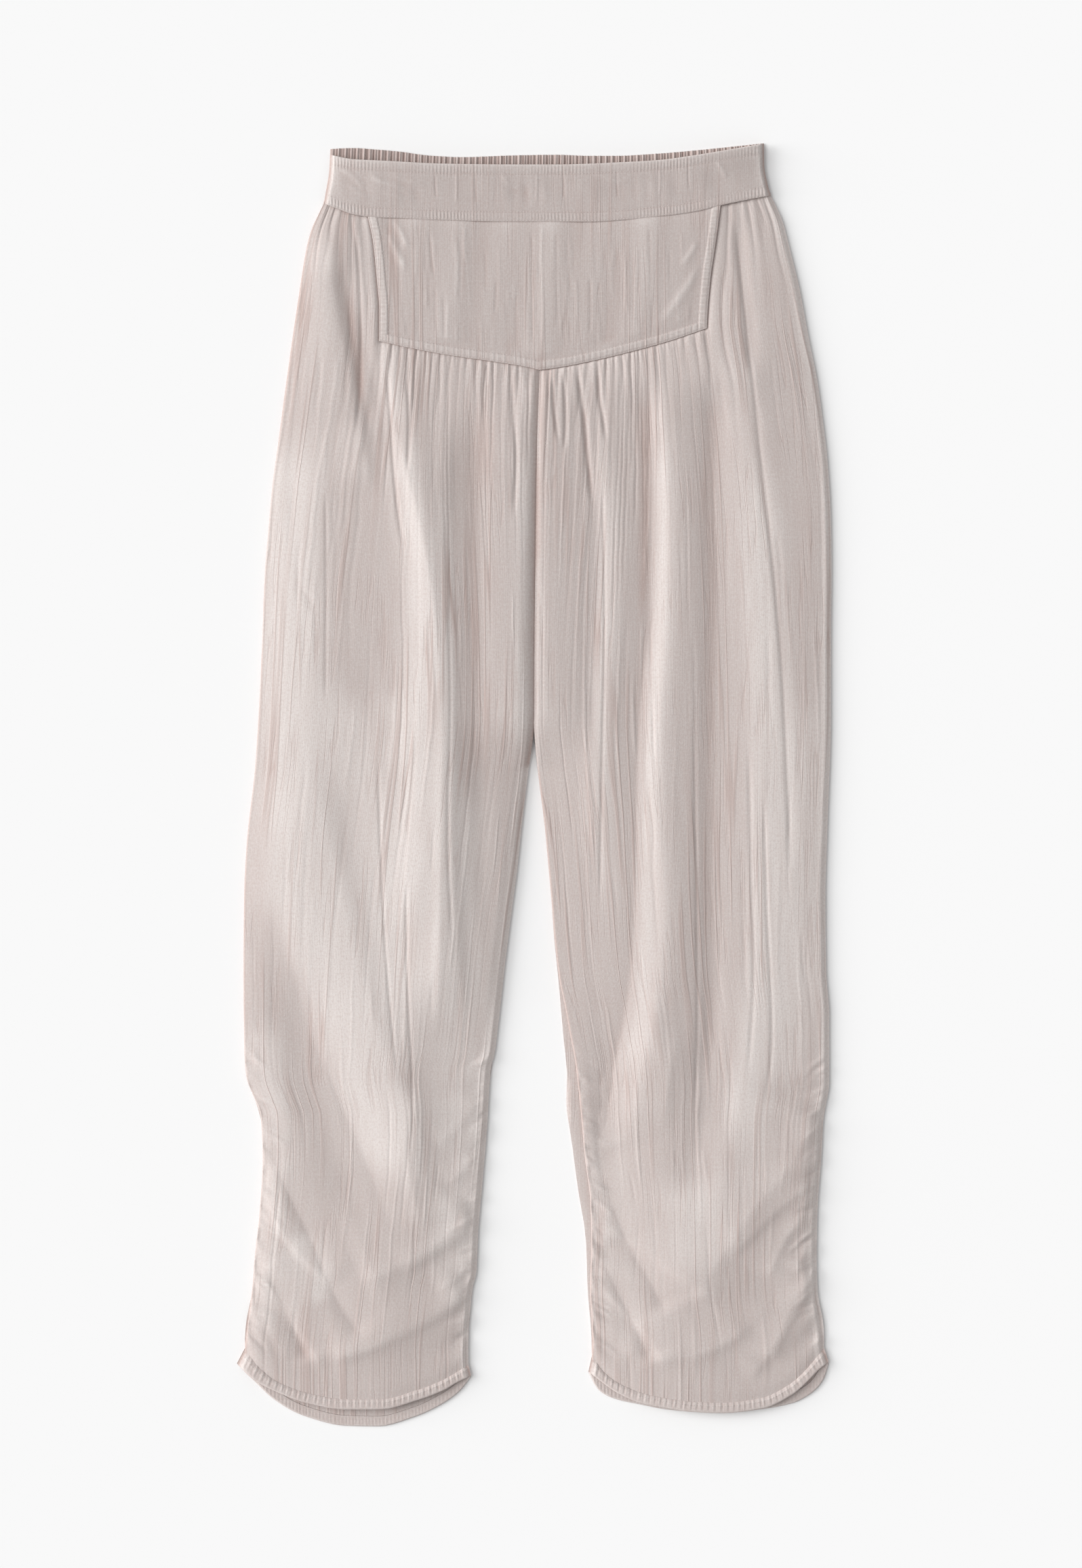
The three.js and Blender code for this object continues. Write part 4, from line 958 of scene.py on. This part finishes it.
def gatherWave(y, q, last, down):  # gathers under the yoke and the band, and finer ones at the seam
    number = np.arange(last + 1)
    size = np.interp(q, number, uneven(number * 3 + 1, *gathers["size"]))
    least, more = gathers["reach"]
    reach = np.interp(q, number, least + more * uneven(number * 5 + 2, 0, 1) ** 2)
    edges = ease(q) * ease(last - q)
    meander = (0.22 * np.sin(y / 19 + q * 1.7) + 0.1 * np.sin(y / 7.3 + q)) * ease(down / 25)
    # round crests with sharp hollows between
    crest = np.abs(np.sin(np.pi * (q + meander) / 2)) ** gathers["roundness"]
    wave = ((crest - gathers["middle"]) * gathers["rise"] * (0.7 + 0.3 * ease(down / 8)) * size * edges
            * np.exp(-((down / reach) ** gathers["fall"])))
    puckerPhase = 2 * np.pi * q * 0.83 + 1.6 * np.sin(q * 0.9)
    return wave + gathers["pucker"] * np.cos(puckerPhase) * edges * bell(down, gathers["puckerReach"])


def frontLeg(side, leg):
    outerIsLeft = leg["outerIsLeft"]
    x, y, ruche, q, even, last, split, westOf, eastOf = layOut(leg)
    q = np.broadcast_to(q, x.shape)
    swell, outerReach, innerReach = (column(leg["swell"], 0, i)(y) for i in (1, 2, 3))
    l, r = westOf(y), eastOf(y)
    toOuter, toInner = (x - l, r - x) if outerIsLeft else (r - x, x - l)
    toOuter, toInner = np.clip(toOuter, 0, far), np.clip(toInner, 0, far)
    opened = ease((levels["crotch"] + 10 - y) / 50)  # 1 where the legs lie apart
    toOpen = toInner + far * (1 - opened)
    nearest, nearestOpen = np.minimum(toOuter, toInner), np.minimum(toOuter, toOpen)

    # the left leg's outer side swells up slowly, and the others turn up at their edge, stay low
    # there and rise slowly further in
    low = ease((levels["uprightFrom"] - y) / 60)
    outerTaper, innerTaper = legCloth["tapers"] if outerIsLeft else legCloth["tapers"][::-1]
    rolled = np.maximum(1 - ease(toOuter / outerTaper), opened * (1 - ease(toInner / innerTaper)))
    edge = legCloth["edgeReach"]
    upright = roundRise(toOuter / edge) * mix(legCloth["rightEdge"], 1, ease(toOuter / 110))
    slow = 1 - (1 - np.clip(toOuter / outerReach, 0, 1)) ** 1.7
    atOuter = mix(slow, upright, 0.45 * low) if outerIsLeft else upright
    atInner = mix(roundRise(toInner / innerReach),
                  roundRise(toInner / edge) * mix(legCloth["leftEdge"], 1, ease(toInner / 75)), opened)
    beyondSide = np.clip((yokeLeft(y) - x) if outerIsLeft else (x - yokeRight(y)), -9, 900)
    beyondHem = np.clip(yokeBottom(x) - y, -9, 900)
    beyond = np.maximum(beyondSide, beyondHem)
    fromYoke = np.where(beyond < 0, beyond,
                        np.hypot(np.clip(beyondSide, 0, None) * 1.6, np.clip(beyondHem, 0, None)))
    fromBand = seamOfBand(x) - y
    fromSeam = np.minimum(np.clip(fromYoke, 0, None), np.clip(fromBand, 0, None))
    seamRise = 0.3 + 0.7 * roundRise(fromSeam / 45)
    foldShare = ease(nearest / 12) * (0.4 + 0.6 * seamRise)
    folds = allRises(x, y, leg["folds"]) * legCloth["foldShare"]
    forms = allRises(x, y, leg["forms"])
    forms = np.where(forms < 0, forms * ease(nearestOpen / 26), forms)
    lift = swell * legCloth["swellShare"] * (atOuter * atInner) * seamRise + (folds + forms) * foldShare

    wave = gatherWave(y, q, last, fromSeam)
    nearEdge = np.where(y > levels["rucheTop"], far, nearest)
    puckers = ruche * np.exp(-nearEdge / 16) * ease(nearEdge / 3 + 0.15)
    room = legCloth["room"] + legCloth["moreRoom"] * ease(nearestOpen / 22)
    height = np.maximum(lift + legCloth["rucheShare"] * puckers + room + wave,
                        0.15 * np.clip(lift, 0, None)) * (1 - rolled)
    bottom = frontFloor + np.clip(height, 0, None)
    base = bottom + cloth["front"] * (1 - rolled)

    fine = (crinkles(leg, x, y, westOf, eastOf)
            + longLines(leg, q, y, last) * (0.35 + 0.65 * ease(fromSeam / 90)))
    marks = rucheMarks(leg, x, y, westOf, eastOf) * (1 - rolled)
    seamLift = 2.0 * bell(toInner, 11) * (1 - opened) * ease(fromSeam / 20)
    seamLift = seamLift - 1.3 * np.exp(-toInner / 4.5) * ease((y - 30) / 90) * ease((330 - y) / 90)
    top = base + (allRises(x, y, leg["creases"]) + fine) * ease(nearest / 7) + marks + seamLift
    top = np.maximum(top, frontFloor + legCloth["least"] * (1 - rolled))

    # the top edges dip under the yoke and the waistband, the lower edge under the hem
    tuck = legCloth["tuck"]
    underSeam = np.minimum(ease((fromYoke + tuck) / 3.6), ease((fromBand + tuck) / 3.8))
    dipped = frontFloor + np.where(fromBand < fromYoke, *legCloth["dips"])
    top = mix(np.minimum(dipped, top), top, underSeam)
    rowsHere = np.arange(len(x))[:, None] - (len(x) - 1 - legCloth["rucheRows"])
    top = top - 0.7 * ease((rowsHere / legCloth["rucheRows"] - 0.965) / 0.035) * (1 - rolled)
    if outerIsLeft:  # this leg's seam allowance runs on under the other leg
        onto = (1 - opened) * np.where(fromYoke > 0, 1, 0)
        x = x + legCloth["overlap"] * np.exp(-toInner / 0.8) * onto
        top = top - 0.9 * np.exp(-toInner / 0.9) * onto
    else:
        top = top - 0.5 * (1 - roundRise(toInner / 0.9)) * (1 - opened)
        for away in legCloth["seamRows"]:
            top = top - 0.2 * bell(toInner - away, 0.6) * (1 - opened)

    # painted shading: shade painted into troughs and light onto crests, more of it painted along the
    # listed paths, painted shade along the lit edge and painted light along the shaded edge
    paintedShading = sum(share * paintedShadingOf(top, *sizes) for share, *sizes in legCloth["paintedShadingScales"])
    litEdge, shadeEdge = (toOuter, toOpen) if outerIsLeft else (toOpen, toOuter)
    paintedLightAndShade = allRises(x, y, leg["paintedLightAndShade"]) + legCloth["litRimPaintedShade"] * bell(litEdge, legCloth["rimReach"])
    paintedLightAndShade = paintedLightAndShade - legCloth["shadedRimPaintedLight"] * bell(shadeEdge, legCloth["shadeReach"])
    paintedShading = np.clip(0.5 + (paintedShading - 0.5) * 0.8 * ease(nearestOpen / 16) + paintedLightAndShade, 0, 1)
    across = np.clip((x - l) / (r - l), 0, 1)
    inset = cloth["front"] * ((1 - across) ** 6 * (1 if outerIsLeft else opened)
                              - across ** 6 * (opened if outerIsLeft else 1))
    under = np.minimum(np.minimum(top, blurred(top, 5, 5)) - 0.9, bottom)
    under = np.minimum(np.clip(under, frontFloor - 0.25, None), top - 0.05)
    cells = np.ones((len(x) - 1, x.shape[1] - 1), bool)
    beside = slice(split * legCloth["perGather"], None)
    if not outerIsLeft:
        beside = slice(None, split * legCloth["perGather"])
    cells[:legCloth["sideRows"], beside] = False  # the yoke's place
    clothX = np.broadcast_to(mix(westOf(levels["crotch"]), eastOf(levels["crotch"]), even), x.shape)
    made = shell(f"front_leg_{side}", x, y, top, under, paintedShading, legGauze, clothX=clothX,
                 liningX=x + inset * 0.6, cells=cells)
    if not outerIsLeft:  # the twin topstitching right of the centre front seam
        ys = np.linspace(317, 60, 80)
        seam = [[(float(westOf(v)) + away, float(v)) for v in ys] for away in legCloth["seamRows"]]
        sewRows("centre_front_stitches", made, [seam[0], seam[1][:28]])
    finish(made, [f"leg_front_{side}"])
    return x, bottom


frontLegs = {side: frontLeg(side, leg) for side, leg in legs.items()}
print("front legs made")

# yoke
yokeCloth = {"across": 240, "down": 110, "tuck": 2.0, "rows": (1.0, 6.7), "dome": 1.6, "pucker": 0.2,
             "groove": 0.3, "creaseShare": 1.2, "crinkles": 90, "seed": 5,
             "crinkleRises": (-0.16, -0.1, 0.12, 0.16)}
borderSteps = np.array([0, .12, .35, .7, 1.0, 1.35, 1.9, 2.8, 3.8, 4.8, 5.6, 6.2, 6.6, 6.95,
                        7.3, 7.8, 8.4])
yokeCreases = [
    ([(-53, 434), (-53.5, 415), (-52.5, 400)], 0.26, 0.7, 0.9, 8),
    ([(-80.5, 428), (-79, 408), (-77, 388)], -0.3, 0.8, 1.0, 10),
    ([(-84, 400), (-83, 385), (-83, 364)], 0.26, 0.7, 0.9, 8),
    ([(-76, 385), (-76, 365), (-75, 346)], -0.25, 0.7, 0.9, 8),
    ([(-112.8, 426), (-104, 407), (-98.2, 393.5)], 0.5, 2.4, 3.2, 10),
    ([(-108, 436), (-100, 420), (-97, 410)], 0.4, 2, 2.6, 8),
    ([(-29, 390), (-29.5, 375), (-30, 360)], -0.28, 0.7, 0.9, 8),
    ([(-2, 430), (-1.5, 400), (-1.5, 365), (-1, 336)], -0.3, 0.7, 0.9, 12),
    ([(6, 434), (5.5, 400), (6.5, 365), (6, 334)], 0.26, 0.7, 0.9, 12),
    ([(17, 428), (17, 395), (18, 350)], -0.22, 0.7, 0.9, 12),
    ([(42.6, 392), (43, 370), (42.5, 345)], -0.28, 0.7, 0.9, 8),
    ([(70, 408), (70, 385), (71, 360)], 0.25, 0.7, 0.9, 8),
    ([(88, 432), (88.5, 405), (89, 372)], -0.22, 0.7, 0.9, 10),
    ([(131, 404), (113, 378), (95, 352.4)], 0.4, 3, 4, 14),
    ([(126, 420), (120, 410), (112, 398)], 0.35, 2, 3, 8),
]


def yokeGrid():
    across, down = yokeCloth["across"], yokeCloth["down"]
    inner = np.linspace(0, 1, across + 1)[1:-1]
    rows = [("down", t) for t in np.linspace(0, 1, down + 1)[:-1]]
    rows += [("up", d) for d in borderSteps[::-1]]
    xs, ys = [], []
    for kind, value in rows:
        def line(x):
            top, low = seamOfBand(x) + yokeCloth["tuck"], yokeBottom(x)
            return mix(top, low + borderSteps[-1], value) if kind == "down" else low + value
        l, r = -120.0, 135.0
        for _ in range(5):  # the sides lean, so they settle in a few turns
            l, r = yokeLeft(line(l)), yokeRight(line(r))
        x = np.concatenate([l + borderSteps, mix(l + borderSteps[-1], r - borderSteps[-1], inner),
                            r - borderSteps[::-1]])
        xs.append(x)
        ys.append(line(x))
    return np.array(xs), np.array(ys)


def yokeRow(inset):  # a row of stitches that follows the yoke's border down, across and up again
    sides = []
    for side, inwards in ((yokeLeft, inset), (yokeRight, -inset)):
        places = [(side(v) + inwards, v) for v in np.linspace(436, 340, 40)]
        sides.append([(u, v) for u, v in places if v > yokeBottom(u) + inset])
    lower = [(u, yokeBottom(u) + inset) for u in np.linspace(-119, 132, 90)]
    lower = [(u, v) for u, v in lower if yokeLeft(v) + inset < u < yokeRight(v) - inset]
    return [(float(u), float(v)) for u, v in sides[0] + lower + sides[1][::-1]]


x, y = yokeGrid()
toSide = np.minimum(x - yokeLeft(y), yokeRight(y) - x)
toHem = y - yokeBottom(x)
toBand = seamOfBand(x) - y
toEdge = np.clip(np.minimum(toSide, toHem), 0, None)
dome = roundRise(toSide / 60) * roundRise(toHem / 50) * roundRise(toBand / 40)
onBorder = 1 - ease((toEdge - yoke["border"] + 0.7) / 1.3)
top = yoke["top"] + yokeCloth["dome"] * dome + yoke["rise"] * onBorder
along = np.where(toSide < toHem, y, x)
pucker = (np.cos(2 * np.pi * along / 2.6 + np.sin(along / 9)) * 0.5
          + np.cos(2 * np.pi * along / 4.1 + 2 * np.sin(along / 13)) * 0.5)
top = top + yokeCloth["pucker"] * pucker * bell(toEdge - 4, 3.4)
for rowAt in yokeCloth["rows"]:
    top = top - yokeCloth["groove"] * bell(toEdge - rowAt, 0.5)
top = top - 0.9 * (1 - roundRise(toEdge / 0.8))
quiet = ease((toEdge - yoke["border"]) / 8)
for crease in yokeCreases:
    top = top + yokeCloth["creaseShare"] * pathRise(x, y, *crease) * quiet
rng = np.random.default_rng(yokeCloth["seed"])
for _ in range(yokeCloth["crinkles"]):
    startX, startY, length = rng.uniform(-115, 128), rng.uniform(345, 432), rng.uniform(15, 60)
    lean = rng.normal(0, 0.04)
    path = [(startX + lean * length * s + rng.normal(0, 0.25), startY - length * s)
            for s in (0, 0.35, 0.7, 1)]
    rise = rng.choice(yokeCloth["crinkleRises"])
    top = top + pathRise(x, y, path, rise, 0.9, 1.1, 10, parts=3) * quiet
top = mix(yoke["top"] - 0.5, top, ease((toBand + yokeCloth["tuck"]) / 2.4))
top = top + (0.2 * np.sin(x / 5.7 + np.sin(y / 40))
             + 0.34 * np.sin(x / 13.1 + 1 + 0.5 * np.sin(y / 33))) * quiet
# painted shade in the yoke's troughs and painted light on its crests
paintedShading = 0.5 * paintedShadingOf(top, 7, 4, 0.5) + 0.5 * paintedShadingOf(top, 20, 8, 0.9)
low = np.minimum(np.minimum(top, blurred(top, 3, 3)) - 1.1, top - 0.15)
low = np.minimum(np.clip(low, yoke["top"] - cloth["front"] - 0.1, None), top - 0.1)
yokePiece = shell("yoke", x, y, top, low, paintedShading, yokeGauze, step=2)
yokeRows = [yokeRow(inset) for inset in yokeCloth["rows"]]
yokeStitches = sewRows("yoke_stitches", yokePiece, yokeRows)
finish(yokePiece, ["yoke_front"])
print("yoke made")

# waistband
band = {"across": 640, "crowding": 0.35, "seamLift": 2.0, "lift": 3.8, "stitchTop": 7.5,
        "stitchLow": 7.3, "stitchSeam": 0.9, "groove": 0.32, "pucker": 0.2, "topPucker": 0.16,
        "softness": 0.2, "creaseShare": 1.15}
bandCreases = [
    ([(-128, 470), (-118, 463), (-104, 459), (-92, 453)], 0.34, 1.4, 2.6, 8),
    ([(-112, 469), (-98, 464), (-84, 461)], 0.28, 1.3, 2.4, 8),
    ([(-150, 474), (-138, 466), (-128, 455)], 0.34, 1.4, 2.6, 8),
    ([(-146, 462), (-134, 455), (-126, 449)], 0.28, 1.3, 2.2, 7),
    ([(-118, 455), (-104, 452), (-90, 449)], 0.25, 1.2, 2.2, 7),
    ([(-60, 472), (-59.5, 460), (-60, 446)], 0.24, 0.6, 0.8, 5),
    ([(-76, 470), (-76, 460), (-75, 450)], -0.24, 0.6, 0.8, 5),
    ([(-45, 471), (-45, 458), (-44.5, 446)], -0.22, 0.6, 0.8, 5),
    ([(-26, 471), (-20, 462), (-6, 458)], 0.24, 1.2, 2.0, 7),
    ([(2, 471), (2, 458), (1.5, 446)], 0.24, 0.6, 0.8, 5),
    ([(22, 471), (22.5, 459), (22, 448)], -0.24, 0.6, 0.8, 5),
    ([(44, 471), (60, 464), (74, 462)], 0.24, 1.2, 2.0, 7),
    ([(63, 474), (63, 462), (64, 450)], -0.22, 0.6, 0.8, 5),
    ([(96, 475), (96.5, 464), (96, 452)], 0.24, 0.6, 0.8, 5),
    ([(118, 478), (118, 466), (119, 456)], -0.22, 0.6, 0.8, 5),
    ([(138, 480), (144, 472), (148, 464)], 0.3, 1.3, 2.2, 7)]
downSteps = np.concatenate([[0, .1, .3, .6, 1, 1.5, 2.2, 3.2], np.linspace(4.4, 36.4, 21),
                            [37.6, 38.8, 40, 41.2, 42.3, 43.0, 43.4]])
downs = np.concatenate([downSteps / downSteps[-1], [1.0]])  # the shell needs an even number of steps
share = crowded(np.linspace(0, 1, band["across"] + 1), band["crowding"])
xs, ys = [], []
for down in downs:
    xs.append(mix(bandLeft(1 - down), bandRight(1 - down), share))
    ys.append(mix(seamOfBand(xs[-1]), bandFrontTop(xs[-1]), 1 - down))
x, y = np.array(xs), np.array(ys)
up = 1 - np.broadcast_to(downs[:, None], x.shape)
toTop, toSeam = bandFrontTop(x) - y, y - seamOfBand(x)
toEnd = np.clip(np.minimum(x - bandLeft(up), bandRight(up) - x), 0, None)
rolled = 1 - ease(toEnd / 4)
lift = (band["seamLift"] + band["lift"] * up ** 1.6) * roundRise(toEnd / 60)
bottom = bandFloor + lift
top = bottom + cloth["band"] * (1 - rolled)
puckers = np.cos(2 * np.pi * x / 2.6 + 1.3 * np.sin(x / 8)) * (0.6 + 0.4 * np.sin(x / 13))
soft = (np.sin(x / 6.3 + y / 9 + np.sin(x / 21)) + 0.8 * np.sin(x / 11.7 - y / 14)
        + 0.5 * np.sin(x / 1.9 + 2 * np.sin(x / 13) + y / 30) * (0.5 + 0.5 * np.sin(x / 17 + 2)))
top = top + band["pucker"] * puckers * bell(toSeam - band["stitchLow"] / 2, 3.2) * (1 - rolled)
top = top + band["topPucker"] * puckers * bell(toTop - 5, 4) * (1 - rolled)
for away, rowAt in ((toSeam, "stitchLow"), (toSeam, "stitchSeam"), (toTop, "stitchTop")):
    top = top - band["groove"] * bell(away - band[rowAt], 0.55) * (1 - rolled)
top = top + band["softness"] * soft * bell(toTop - 21, 11) * (1 - rolled)
for crease in bandCreases:
    top = top + (band["creaseShare"] * pathRise(x, y, *crease) * ease((toTop - 5) / 5)
                 * ease((toSeam - 4) / 5) * (1 - rolled))
top = top - 1.7 * (1 - roundRise(toTop / 1.3)) * (1 - rolled)
top = top - 0.6 * (1 - roundRise(toSeam / 0.8)) * (1 - rolled)
# painted shade in the band's troughs and painted light on its crests
paintedShading = 0.5 * paintedShadingOf(top, 5, 2, 0.45) + 0.5 * paintedShadingOf(top, 22, 5, 0.8)
bandPiece = shell("waistband", x, y, top, np.minimum(bottom, top - 0.12), paintedShading, bandGauze, step=2)
bandXs = np.linspace(-158, 178, 110)
bandStitches = sewRows("waistband_stitches", bandPiece, [
    [(u, float(seamOfBand(u)) + band["stitchSeam"]) for u in bandXs],
    [(u, float(seamOfBand(u)) + band["stitchLow"]) for u in bandXs],
    [(u, float(bandFrontTop(u)) - band["stitchTop"]) for u in bandXs[1:-1]]])
finish(bandPiece, ["waistband_front"])

elastic = {"ruches": 70, "perRuche": 12, "rows": 16, "shift": 0.25, "size": (0.5, 1), "letOut": 1.4,
           "pucker": 0.35, "under": 0.5}
t = np.arange(elastic["ruches"] * elastic["perRuche"] + 1) / (elastic["ruches"] * elastic["perRuche"])
number = t * elastic["ruches"] * 2
points = np.arange(elastic["ruches"] * 2 + 1)
shifts = uneven(points + 7, -elastic["shift"], elastic["shift"]) * (points > 0) * (points < points[-1])
share = t + np.interp(number, points, shifts) / (elastic["ruches"] * 2)
size = np.interp(number, points, uneven(points + 90, *elastic["size"]))
xs, ys, ups = [], [], []
for i in range(elastic["rows"] + 1):
    up = 1 - i / elastic["rows"]
    x = mix(bandLeft(up), bandRight(up), share)
    xs.append(x)
    ys.append(mix(seamOfBand(x), bandBackTop(x), up))
    ups.append(np.full(len(x), up))
x, y, up = np.array(xs), np.array(ys), np.array(ups)
crest = (0.5 - 0.5 * np.cos(np.pi * number)) * size
top = (cloth["elasticLow"] + (cloth["elasticHigh"] - cloth["elasticLow"]) * crest
       * (0.75 + 0.25 * np.sin(y / 5 + number)))
toTop = bandBackTop(x) - y
toEnd = np.clip(np.minimum(x - bandLeft(up), bandRight(up) - x), 0, None)
top = top + elastic["pucker"] * np.cos(2 * np.pi * number * 1.02 + np.sin(number)) * ease(toEnd / 4)
top = top - 0.8 * (1 - roundRise(np.minimum(toTop, toEnd)))
# painted shade: the inside of the back band darker all over, and most in the troughs of its ruches
paintedShading = np.clip(0.62 + 0.38 * (1 - crest), 0, 1) * np.ones(x.shape)
underside = elastic["under"] * (0.5 + 0.5 * np.cos(np.pi * number)) * np.ones(x.shape)
low = np.clip(np.minimum(underside, top - 0.3), 0, None)
elasticPiece = shell("waistband_back_elastic", x, y, top, low, paintedShading, bandGauze,
                     clothX=x * elastic["letOut"], step=2)
finish(elasticPiece, ["waistband_back"])
print("waistband made")

# hems and back legs
hemCloth = {"across": 320, "down": 12, "crowding": 0.3, "pucker": 0.26, "backPucker": 0.1,
            "stitchRow": 4, "groove": 0.2}
backCloth = {"across": 160, "down": 240, "crowding": 0.3, "stripes": 0.08, "ruche": 0.5,
             "ruchePitch": 23.5, "gather": 0.4, "gatherPitch": 5.2, "round": 1.2}


def frontHem(side, hem, legX, legBottom):
    share = crowded(np.linspace(0, 1, hemCloth["across"] + 1), hemCloth["crowding"])
    seamX = hem["seamX"](share)
    low = np.maximum(np.interp(seamX, legX[-4], legBottom[-4]) - 0.1, hemFloor)
    rolled = 1 - ease(np.minimum(seamX - seamX[0], seamX[-1] - seamX) / 4)
    pucker = (0.6 * np.cos(2 * np.pi * seamX / 4.3 + 2 * np.sin(seamX / 9))
              + 0.4 * np.cos(2 * np.pi * seamX / 2.3 + 1.5 * np.sin(seamX / 5)))
    rows = []
    for i in range(hemCloth["down"] + 1):
        down = i / hemCloth["down"]
        z = low + cloth["hem"] * (1 - rolled)
        z = z + (hemCloth["pucker"] * pucker * math.sin(math.pi * min(1, down + 0.15)) ** 0.6
                 * (1 - rolled))
        z = (z - 0.6 * (1 - ease(down / 0.3)) - 0.3 * (1 - roundRise(down / 0.1))
             - 0.8 * (1 - roundRise((1 - down) / 0.14)) * (1 - rolled))
        z = z - hemCloth["groove"] * bell(down - 0.14, 0.06)
        rows.append((mix(seamX, hem["edgeX"](share), down),
                     mix(hem["seamY"](share), hem["edgeY"](share), down),
                     np.maximum(z, low + 0.15), low))
    x, y, top, low = (np.array(part) for part in zip(*rows))
    # the hem's painted shade in its troughs and painted light on its crests
    made = shell(f"front_hem_{side}", x, y, top, low, paintedShadingOf(top, 5, 1, 0.5), hemGauze)
    hemRow = np.stack([x, y], 2)[hemCloth["stitchRow"], 6:-6]
    hemStitches = sewRows(f"hem_stitches_{side}", made, [hemRow])
    finish(made, [f"hem_front_{side}"])


def backLeg(side, leg, hem):  # it rests on the floor, and its underside is the fine side
    westOf, eastOf = gappedSides(leg, "backWest", "backEast")
    share = crowded(np.linspace(0, 1, backCloth["across"] + 1), backCloth["crowding"])
    xs, ys = [], []
    for i in range(backCloth["down"] + 1):
        down = i / backCloth["down"]
        x = np.zeros(len(share))
        for _ in range(6):  # the band's seam bends, so x and y settle in a few turns
            y = mix(seamOfBand(x) - 0.4, hem["backSeamY"](share), down)
            free = mix(westOf(y), eastOf(y), share)
            x = mix(free, hem["backSeamX"](share), ease((down - 0.96) / 0.04))
        xs.append(x)
        ys.append(y)
    x, y = np.array(xs), np.array(ys)
    toEdge = np.minimum(x - x[:, :1], x[:, -1:] - x)
    rounding = 1 - roundRise(toEdge / backCloth["round"])
    other = legs["right" if side == "left" else "left"]  # its crinkles, so that none lies under its own
    under = crinkles(other, x, y, leg["backWest"], leg["backEast"])
    drift = 1.9 * np.sin(y / 47) + 1.7 * np.sin(x / 23 + y / 90)
    under = np.clip(np.abs(under) * 0.9 + backCloth["stripes"] * (1 + np.sin(x / 5.3 + drift)), 0, 0.8)
    phase = 2 * np.pi * (y - levels["rucheTop"]) / backCloth["ruchePitch"]
    ruches = np.clip(0.5 - 0.5 * np.cos(phase), 0, 1)
    under = under + backCloth["ruche"] * ruches * np.exp(-toEdge / 18) * (y < levels["rucheTop"])
    gathered = 0.5 + 0.5 * np.cos(2 * np.pi * x / backCloth["gatherPitch"])
    under = under + backCloth["gather"] * gathered * bell(seamOfBand(x) - y, 40)
    under = np.clip(under, 0, 1.0) * ease(toEdge / 5) + 0.5 * rounding
    # painted shade and light on the underside's troughs and crests
    made = shell(f"back_leg_{side}", x, y, under, cloth["back"] - 0.6 * rounding,
                 paintedShadingOf(-under, 6, 5, 0.7), legGauze, below=True)
    finish(made, [f"leg_back_{side}"])


def backHem(side, hem):
    share = crowded(np.linspace(0, 1, hemCloth["across"] + 1), hemCloth["crowding"])
    rows = []
    for i in range(hemCloth["down"] + 1):
        down = i / hemCloth["down"]
        x = mix(hem["backSeamX"](share), hem["backX"](share), down)
        y = mix(hem["backSeamY"](share) - 0.1, hem["backY"](share), down)
        atEdge = 1 - roundRise((1 - down) / 0.12)
        pucker = np.cos(2 * np.pi * x / 2.7 + 1.5 * np.sin(x / 7))
        z = cloth["backHem"] - 0.1 + hemCloth["backPucker"] * pucker * math.sin(math.pi * down)
        z = z - 0.9 * (1 - roundRise(np.minimum(x - x[0], x[-1] - x))) - 0.9 * atEdge
        rows.append((x, y, z, np.full(len(x), 0.5 * atEdge)))
    x, y, top, low = (np.array(part) for part in zip(*rows))
    # the back hem's painted shade in its troughs and painted light on its crests
    made = shell(f"back_hem_{side}", x, y, top, low, paintedShadingOf(top, 5, 1, 0.4), hemGauze)
    finish(made, [f"hem_back_{side}"])


for side, leg in legs.items():
    frontHem(side, leg["hem"], *frontLegs[side])
    backLeg(side, leg, leg["hem"])
    backHem(side, leg["hem"])
print("hems and back legs made")
